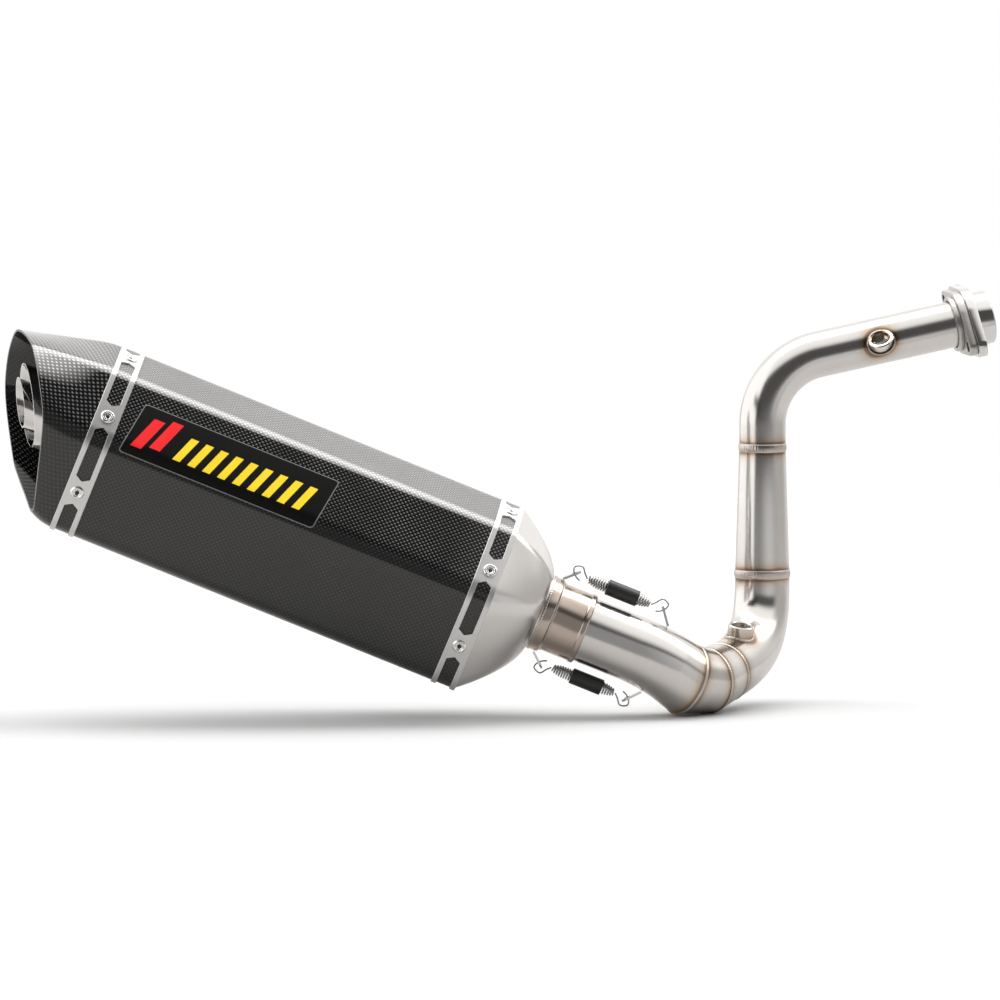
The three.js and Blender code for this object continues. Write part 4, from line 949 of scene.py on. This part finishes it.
# ------------------------------------------------------------------ sensor bosses
rear_mouth = Vector((192, 60, -105.4))
rear_axis = Vector((0.12, -0.2, 1)).normalized()
rear_first = rear_axis.cross(Vector((0, 1, 0))).normalized()
rear_second = rear_axis.cross(rear_first)


def rear_boss(height, a, b):
    return rear_mouth + rear_axis * height + rear_first * a + rear_second * b


def threads(mouth, depth, radius, pitch=1.5, step=0.35):
    """A zigzag profile down a bore, from the mouth inward."""
    profile = []
    count = int(depth / pitch)
    for k in range(count):
        profile += [(mouth - k * pitch, radius), (mouth - (k + 0.5) * pitch, radius + step)]
    return profile


boss_profile = [(-12.5, BOSS_RADIUS), (-0.8, BOSS_RADIUS), (0, BOSS_RADIUS - 0.8), (0, BOSS_BORE + 0.9)]
boss_profile += threads(-0.8, 11, BOSS_BORE) + [(-12.5, BOSS_BORE)]
lathe("rear_boss_shell", boss_profile, rear_boss, SATIN, "header", 72, ["rear_sensor_boss"], radius=0.15)
carve(lower_piece, rod(rear_boss(3, 0, 0), rear_boss(-26, 0, 0), BOSS_BORE - 0.2))

FRONT_BASE = Vector((48.7, -12, 0.5))
FRONT_MOUTH = Vector((47.6, -24.2, 5.2))
FRONT_AXIS = Vector((-0.18, -0.53, 0.83)).normalized()
front_first = (Vector((1, 0, 0)) - FRONT_AXIS * FRONT_AXIS.x).normalized()
front_second = FRONT_AXIS.cross(front_first)


def front_ring(depth, radius):
    ring = []
    for j in range(72):
        a = 2 * math.pi * j / 72
        p = FRONT_MOUTH - FRONT_AXIS * depth
        p = p + front_first * math.cos(a) * radius + front_second * math.sin(a) * radius
        ring.append(head(*p))
    return ring


def front_foot(y, grow):
    ring = []
    for j in range(72):
        a = 2 * math.pi * j / 72
        ring.append(head(FRONT_BASE.x + math.cos(a) * (10.6 + grow), y,
                         FRONT_BASE.z + math.sin(a) * (8.8 + grow)))
    return ring


front_rows = [front_foot(-13, 0), front_foot(-17, 0)]
shoulder = front_ring(0.9, BOSS_RADIUS)
front_rows += [lerp_loops(front_rows[1], shoulder, t) for t in (0.25, 0.5, 0.75, 1)]
front_rows += [front_ring(0, BOSS_RADIUS - 0.8), front_ring(0, BOSS_BORE + 0.9)]
front_rows += [front_ring(depth, r) for depth, r in
               ((0.8, BOSS_BORE), (1.5, BOSS_BORE + 0.35), (2.2, BOSS_BORE), (2.9, BOSS_BORE + 0.35),
                (3.6, BOSS_BORE), (4.4, BOSS_BORE - 0.4), (5.4, BOSS_BORE - 2))]
front_rows += [front_foot(-13, -3.5)]
points, faces, uvs = skin(front_rows)
finish_mesh("front_boss_shell", points, faces, SATIN, "header", uvs, 35, ["front_sensor_boss"])


def on_header(points_at, lift):
    """Loop of points pushed onto the straight header's surface."""
    loop = []
    for x, y, z in points_at:
        r = math.hypot(y, z)
        loop.append(head(x, y / r * (HEADER_RADIUS + lift), z / r * (HEADER_RADIUS + lift)))
    return loop


foot_ring = []
for j in range(72):
    a = 2 * math.pi * j / 72
    z = FRONT_BASE.z + math.sin(a) * 9.2
    foot_ring.append((FRONT_BASE.x + math.cos(a) * 11.2, -math.sqrt(HEADER_RADIUS ** 2 - z * z), z))
bead("weld_front_boss", on_header(foot_ring, 0.1), 1.5, 1.0, "header")

# Foot of the rear boss on the lower bend, found by walking down the boss to the pipe's surface.
bend_tree = kdtree.KDTree(len(lower))
for i, station in enumerate(lower):
    bend_tree.insert(station[0], i)
bend_tree.balance()


def inside_bend(point):
    _, i, _ = bend_tree.find(point)
    at, direction, radius = lower[i]
    off = point - at
    return (off - direction * off.dot(direction)).length < radius


rear_loop = []
for j in range(72):
    a = 2 * math.pi * j / 72
    depth = 0.0
    while depth < 14:
        p = rear_boss(-depth, math.cos(a) * (BOSS_RADIUS + 0.6), math.sin(a) * (BOSS_RADIUS + 0.6))
        if inside_bend(p):
            break
        depth += 0.1
    rear_loop.append(p)
rear_loop = [sum((rear_loop[(j + k) % 72] for k in range(-3, 4)), Vector()) / 7 for j in range(72)]
bead("weld_rear_boss", rear_loop, 1.6, 1.1, "header")

# ------------------------------------------------------------------ spigot and flange
H = HEADER_STRAIGHT
spigot_profile = [
    (H + 0.3, HEADER_RADIUS - PIPE_WALL), (H + 0.3, SPIGOT_RADIUS),
    (H + SPIGOT_LENGTH - 1, SPIGOT_RADIUS), (H + SPIGOT_LENGTH, SPIGOT_RADIUS - 1),
    (H + SPIGOT_LENGTH, HEADER_RADIUS - PIPE_WALL),
]
lathe("head_spigot_ring", spigot_profile, head, BRIGHT, "header", 96, ["head_spigot"], radius=0.4)


def flange_outline(middle, ear, count=28):
    """Outline of a two-ear flange as (y, z), drawn with its ears along y before the roll."""
    spread = math.acos((middle - ear) / STUD_OFFSET)
    points = []
    arcs = ((0, 0, middle, spread, math.pi - spread),
            (-STUD_OFFSET, 0, ear, math.pi - spread, math.pi + spread),
            (0, 0, middle, math.pi + spread, 2 * math.pi - spread),
            (STUD_OFFSET, 0, ear, -spread, spread))
    for cx, cy, r, start, end in arcs:
        for k in range(count):
            a = start + (end - start) * k / count
            points.append((cx + r * math.cos(a), cy + r * math.sin(a)))
    return points


ROLL = Matrix.Rotation(math.pi / 2 + FLANGE_ROLL, 3, "X")


def flange_place(x, along_ears, over):
    # The plate is drawn with its ears along y, then rolled about the pipe.
    return head(*(ROLL @ Vector((x, along_ears, over))))


def flange_layer(name, outline, start, end, bevel, material, stands_for=()):
    count = len(outline)
    centre_radius = FLANGE_BORE

    def outer(x, shrink):
        loop = []
        for k in range(count):
            a = Vector(outline[k - 1])
            b = Vector(outline[(k + 1) % count])
            t = (b - a).normalized()
            n = Vector((t.y, -t.x))
            p = Vector(outline[k]) - n * shrink
            loop.append(flange_place(x, p.x, p.y))
        return loop

    def inner(x, grow):
        loop = []
        for k in range(count):
            a = math.atan2(outline[k][1], outline[k][0])
            r = centre_radius + grow
            loop.append(flange_place(x, math.cos(a) * r, math.sin(a) * r))
        return loop

    rows = [outer(start, bevel), outer(start + bevel * 0.3, bevel * 0.3), outer(start + bevel, 0),
            outer(end - bevel, 0), outer(end - bevel * 0.3, bevel * 0.3), outer(end, bevel),
            inner(end, 0.4), inner(end - 0.4, 0), inner(start + 0.4, 0), inner(start, 0.4)]
    points, faces, uvs = skin(rows)
    return finish_mesh(name, points, faces, material, "flange", uvs, 35, stands_for)


FRONT = H - 0.2
stud_drills = []
for side in (-1, 1):
    a = flange_place(FRONT - 25, side * STUD_OFFSET, 0)
    b = flange_place(FRONT + 5, side * STUD_OFFSET, 0)
    stud_drills.append(rod(a, b, STUD_HOLE_RADIUS))
plate_piece = flange_layer("flange_plate", flange_outline(27, 10), FRONT - 7.4, FRONT, 0.8, BRIGHT,
                           ["head_flange"])
carve(plate_piece, *stud_drills)
body_piece = flange_layer("flange_body", flange_outline(25, 7.5), FRONT - 13.9, FRONT - 7.4, 0.9, CAST)
carve(body_piece, *stud_drills)
hub_outline = [(22.2 * math.cos(2 * math.pi * k / 96), 22.2 * math.sin(2 * math.pi * k / 96))
               for k in range(96)]
flange_layer("flange_hub", hub_outline, FRONT - 17.9, FRONT - 13.9, 0.7, CAST)


# ------------------------------------------------------------------ springs and their sleeves
def catmull(points, per_span=10):
    out = []
    padded = [points[0] * 2 - points[1], *points, points[-1] * 2 - points[-2]]
    for a, b, c, d in zip(padded, padded[1:], padded[2:], padded[3:]):
        for k in range(per_span):
            t = k / per_span
            out.append(((b * 2) + (c - a) * t + (a * 2 - b * 5 + c * 4 - d) * t * t
                        + (b * 3 - a - c * 3 + d) * t ** 3) * 0.5)
    out.append(points[-1])
    return out


coil_middle = (SILENCER_EYE_X + LINK_EYE_X) / 2
coil_rear = coil_middle - SPRING_COIL_LENGTH / 2
coil_front = coil_middle + SPRING_COIL_LENGTH / 2
mean_radius = SPRING_COIL_RADIUS - SPRING_WIRE_RADIUS


def spring(word, side):
    def at(x, r, y=0):
        return bore(x, y, side * r)

    def hook(eye, towards):
        reach = [(10.6, 0.0), (7.5, 3), (3.6, 7.4), (-1.8, 5.6), (-1.6, 1.6), (1.7, -1.9), (5.4, -3.6)]
        return catmull([at(eye + towards * dx, SPRING_HEIGHT + r) for dx, r in reach])

    turns = round(SPRING_COIL_LENGTH / SPRING_PITCH)
    path = []
    count = turns * 18
    for k in range(count + 1):
        share = k / count
        x = coil_rear + 0.6 + (SPRING_COIL_LENGTH - 1.2) * share
        near = min(x - coil_rear, coil_front - x)
        r = 1.8 + (mean_radius - 1.8) * min(1, near / 8) ** 0.6
        a = 2 * math.pi * turns * share
        path.append(at(x, SPRING_HEIGHT + math.cos(a) * r, math.sin(a) * r))
    parts = [capped(tube(path, SPRING_WIRE_RADIUS, 8))]
    parts.append(capped(tube(hook(SILENCER_EYE_X, 1), SPRING_WIRE_RADIUS, 10)))
    parts.append(capped(tube(hook(LINK_EYE_X, -1), SPRING_WIRE_RADIUS, 10)))
    points, faces, uvs = joined(parts)
    piece = finish_mesh(f"{word}_spring_coil", points, faces, SPRING, None, uvs, 60, [f"{word}_spring"])
    row(at(coil_front, SPRING_HEIGHT))
    row(at(coil_rear, SPRING_HEIGHT))
    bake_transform(piece)

    def sleeve_place(x, y, z):
        return bore(x, y, side * SPRING_HEIGHT + z)

    start, end = RUBBER_X - RUBBER_LENGTH / 2, RUBBER_X + RUBBER_LENGTH / 2
    profile = [(start, SPRING_COIL_RADIUS + 0.15), (start, RUBBER_RADIUS), (end, RUBBER_RADIUS),
               (end, SPRING_COIL_RADIUS + 0.15)]
    lathe(f"{word}_rubber_tube", profile, sleeve_place, RUBBER, f"{word}_sleeve", 48,
          [f"{word}_rubber_sleeve"], radius=0.6)


spring("upper", 1)
spring("lower", -1)

# ------------------------------------------------------------------ pieces kept from the solids
for name in ("upper_silencer_tab", "lower_silencer_tab", "upper_link_tab", "lower_link_tab",
             "hanger_bracket", "rear_baffle", "front_baffle", "perforated_core", "packing"):
    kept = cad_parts[name]
    kept.data.materials.clear()
    kept.data.materials.append(FIBRE if name == "packing" else CONE)
    if name.endswith(("tab", "bracket")):
        bevel = kept.modifiers.new("edge", "BEVEL")
        bevel.width = 0.0004
        bevel.segments = 2
        bevel.limit_method = "ANGLE"
        shade(kept.data)


# ------------------------------------------------------------------ heat tint near the welds
tree_of_welds = kdtree.KDTree(len(WELD_POINTS))
for i, (point, _) in enumerate(WELD_POINTS):
    tree_of_welds.insert(row(point), i)
tree_of_welds.balance()
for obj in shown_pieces():
    if obj.type != "MESH" or SATIN not in list(obj.data.materials):
        continue
    layer = obj.data.uv_layers.new(name="Heat", do_init=False)
    values = []
    for vertex in obj.data.vertices:
        _, i, distance = tree_of_welds.find(vertex.co)
        outside = max(0.0, distance * 1000 - WELD_POINTS[i][1])
        values.append(math.exp(-(outside / 4.0) ** 1.3))
    layer.data.foreach_set("uv", [n for loop in obj.data.loops for n in (values[loop.vertex_index], 0)])

# ------------------------------------------------------------------ floor, light and camera
target = row(Vector((0, 0, 0)))
mesh = bpy.data.meshes.new("floor")
sides = 96
ring = [(math.cos(2 * math.pi * k / sides) * 2.2, math.sin(2 * math.pi * k / sides) * 2.2, -0.0002)
        for k in range(sides)]
mesh.from_pydata(ring, [], [tuple(range(sides))])
floor = bpy.data.objects.new("floor", mesh)
bpy.context.scene.collection.objects.link(floor)
material, tree, shader = new_material("floor")
seen = node(tree, "ShaderNodeLightPath").outputs["Is Camera Ray"]
pale = mix(tree, seen, (0.42, 0.415, 0.41, 1), (0.50, 0.508, 0.516, 1))
tree.links.new(pale, shader.inputs["Base Color"])
shader.inputs["Roughness"].default_value = 0.8
place = node(tree, "ShaderNodeTexCoord").outputs["Object"]
radius = node(tree, "ShaderNodeVectorMath", {0: place}, operation="LENGTH").outputs["Value"]
fade = node(tree, "ShaderNodeMapRange", {"Value": radius, "From Min": 1.0, "From Max": 2.1}).outputs[0]
clear = node(tree, "ShaderNodeBsdfTransparent")
both = node(tree, "ShaderNodeMixShader", {0: fade, 1: shader.outputs[0], 2: clear.outputs[0]})
tree.links.new(both.outputs[0], tree.nodes["Material Output"].inputs[0])
mesh.materials.append(material)

world = bpy.data.worlds.new("studio")
bpy.context.scene.world = world
world.use_nodes = True
tree = world.node_tree
tree.nodes.clear()
direction = node(tree, "ShaderNodeTexCoord").outputs["Generated"]
parts = node(tree, "ShaderNodeSeparateXYZ", {0: direction})
x, y, z = parts.outputs
toward = maths(tree, "MULTIPLY", y, -1.0)
belt = maths(tree, "ARCTAN2", z, toward)  # 0 towards the camera, a quarter turn overhead
level = maths(tree, "MULTIPLY_ADD", belt, 0.5 / math.pi, 0.5)


belt_stops = [(-180, 0.9), (-100, 0.7), (-40, 0.5), (-12, 0.22), (0, 0.10), (36, 0.09), (46, 1.0),
              (54, 1.35), (88, 1.5), (96, 6.0), (116, 6.0), (126, 1.3), (172, 1.2), (180, 0.9)]
overhead = ramp(tree, level, [(degrees / 360 + 0.5, glow) for degrees, glow in belt_stops])
left = node(tree, "ShaderNodeMapRange", {"Value": x, "From Min": -0.55, "From Max": -0.70},
            interpolation_type="SMOOTHSTEP").outputs[0]
right = node(tree, "ShaderNodeMapRange", {"Value": x, "From Min": 0.72, "From Max": 0.95},
             interpolation_type="SMOOTHSTEP").outputs[0]
panel = mix(tree, left, overhead, (1.7, 1.7, 1.7, 1))
panel = mix(tree, right, panel, (0.62, 0.61, 0.60, 1))
tinge = node(tree, "ShaderNodeMix", {0: 1.0, 6: panel, 7: (1.0, 0.985, 0.97, 1)}, data_type="RGBA",
             blend_type="MULTIPLY").outputs[2]
seen = node(tree, "ShaderNodeLightPath").outputs["Is Camera Ray"]
colour = mix(tree, seen, tinge, (1.0, 1.0, 1.0, 1))
background = node(tree, "ShaderNodeBackground", {"Color": colour, "Strength": 1.0})
out = node(tree, "ShaderNodeOutputWorld", {0: background.outputs[0]})



def card(name, corners, strength, stops=None, soft=0.0):
    """A studio card only seen in reflections: black, or glowing unevenly along x, and faded
    over a share of its size at each edge."""
    mesh = bpy.data.meshes.new(name)
    mesh.from_pydata([row(corner) for corner in corners], [], [(0, 1, 2, 3)])
    obj = bpy.data.objects.new(name, mesh)
    bpy.context.scene.collection.objects.link(obj)
    for kind in ("camera", "diffuse", "shadow", "transmission", "volume_scatter"):
        setattr(obj, f"visible_{kind}", False)
    material = bpy.data.materials.new(name)
    material.use_nodes = True
    tree = material.node_tree
    tree.nodes.clear()
    glow = node(tree, "ShaderNodeEmission", {"Strength": strength})
    if stops:
        place = node(tree, "ShaderNodeTexCoord").outputs["Object"]
        x = node(tree, "ShaderNodeSeparateXYZ", {0: place}).outputs[0]
        shown = ramp(tree, x, stops)
        tree.links.new(shown, glow.inputs["Color"])
    if soft:
        layer = mesh.uv_layers.new(name="UVMap")
        layer.data.foreach_set("uv", [0, 0, 1, 0, 1, 1, 0, 1])
        uv = node(tree, "ShaderNodeUVMap", uv_map="UVMap").outputs[0]
        inward = []
        for share in node(tree, "ShaderNodeSeparateXYZ", {0: uv}).outputs[:2]:
            edge = maths(tree, "MINIMUM", share, maths(tree, "SUBTRACT", 1.0, share))
            inward.append(node(tree, "ShaderNodeMapRange", {"Value": edge, "From Max": soft},
                               interpolation_type="SMOOTHSTEP").outputs[0])
        solid = maths(tree, "MULTIPLY", *inward)
        clear = node(tree, "ShaderNodeBsdfTransparent")
        glow = node(tree, "ShaderNodeMixShader", {0: solid, 1: clear.outputs[0], 2: glow.outputs[0]})
    node(tree, "ShaderNodeOutputMaterial", {0: glow.outputs[0]})
    mesh.materials.append(material)


view = Vector((0, math.cos(CAMERA_ELEVATION), -math.sin(CAMERA_ELEVATION)))
facet = [Vector(BODY_CORNERS[k]) for k in (1, 2)]
middle = (facet[0] + facet[1]) / 2
facing = Vector((facet[1].y - facet[0].y, facet[0].x - facet[1].x)).normalized()
mirrored = view.reflect((Vector((0, facing.x, 0)) + AXIS_UP * facing.y).normalized())
across = mirrored.cross(AXIS).normalized()
flag = [sil(x, middle.x, middle.y) + mirrored * 180 + across * side
        for x, side in ((-220, -170), (440, -170), (440, 85), (-220, 85))]
card("dark_flag", flag, 0.0, soft=0.25)
low_card = [Vector((x, -234, z)) for x, z in ((0, -150), (900, -150), (900, 0), (0, 0))]
card("low_reflector", low_card, 1.0,
     [(0.0, 0.36), (0.15, 0.40), (0.21, 0.55), (0.34, 0.82), (0.5, 0.82), (0.62, 0.70), (0.9, 0.6)])

data = bpy.data.cameras.new("camera")
data.lens = CAMERA_LENS
data.sensor_width = 36
data.clip_start = 1
data.clip_end = 60
camera = bpy.data.objects.new("camera", data)
bpy.context.scene.collection.objects.link(camera)
back = Vector((0, -math.cos(CAMERA_ELEVATION), math.sin(CAMERA_ELEVATION)))
camera.location = target + back * CAMERA_DISTANCE
camera.rotation_mode = "QUATERNION"
camera.rotation_quaternion = (-back).to_track_quat("-Z", "Y")
bpy.context.scene.camera = camera
bpy.context.scene.view_settings.view_transform = "Standard"
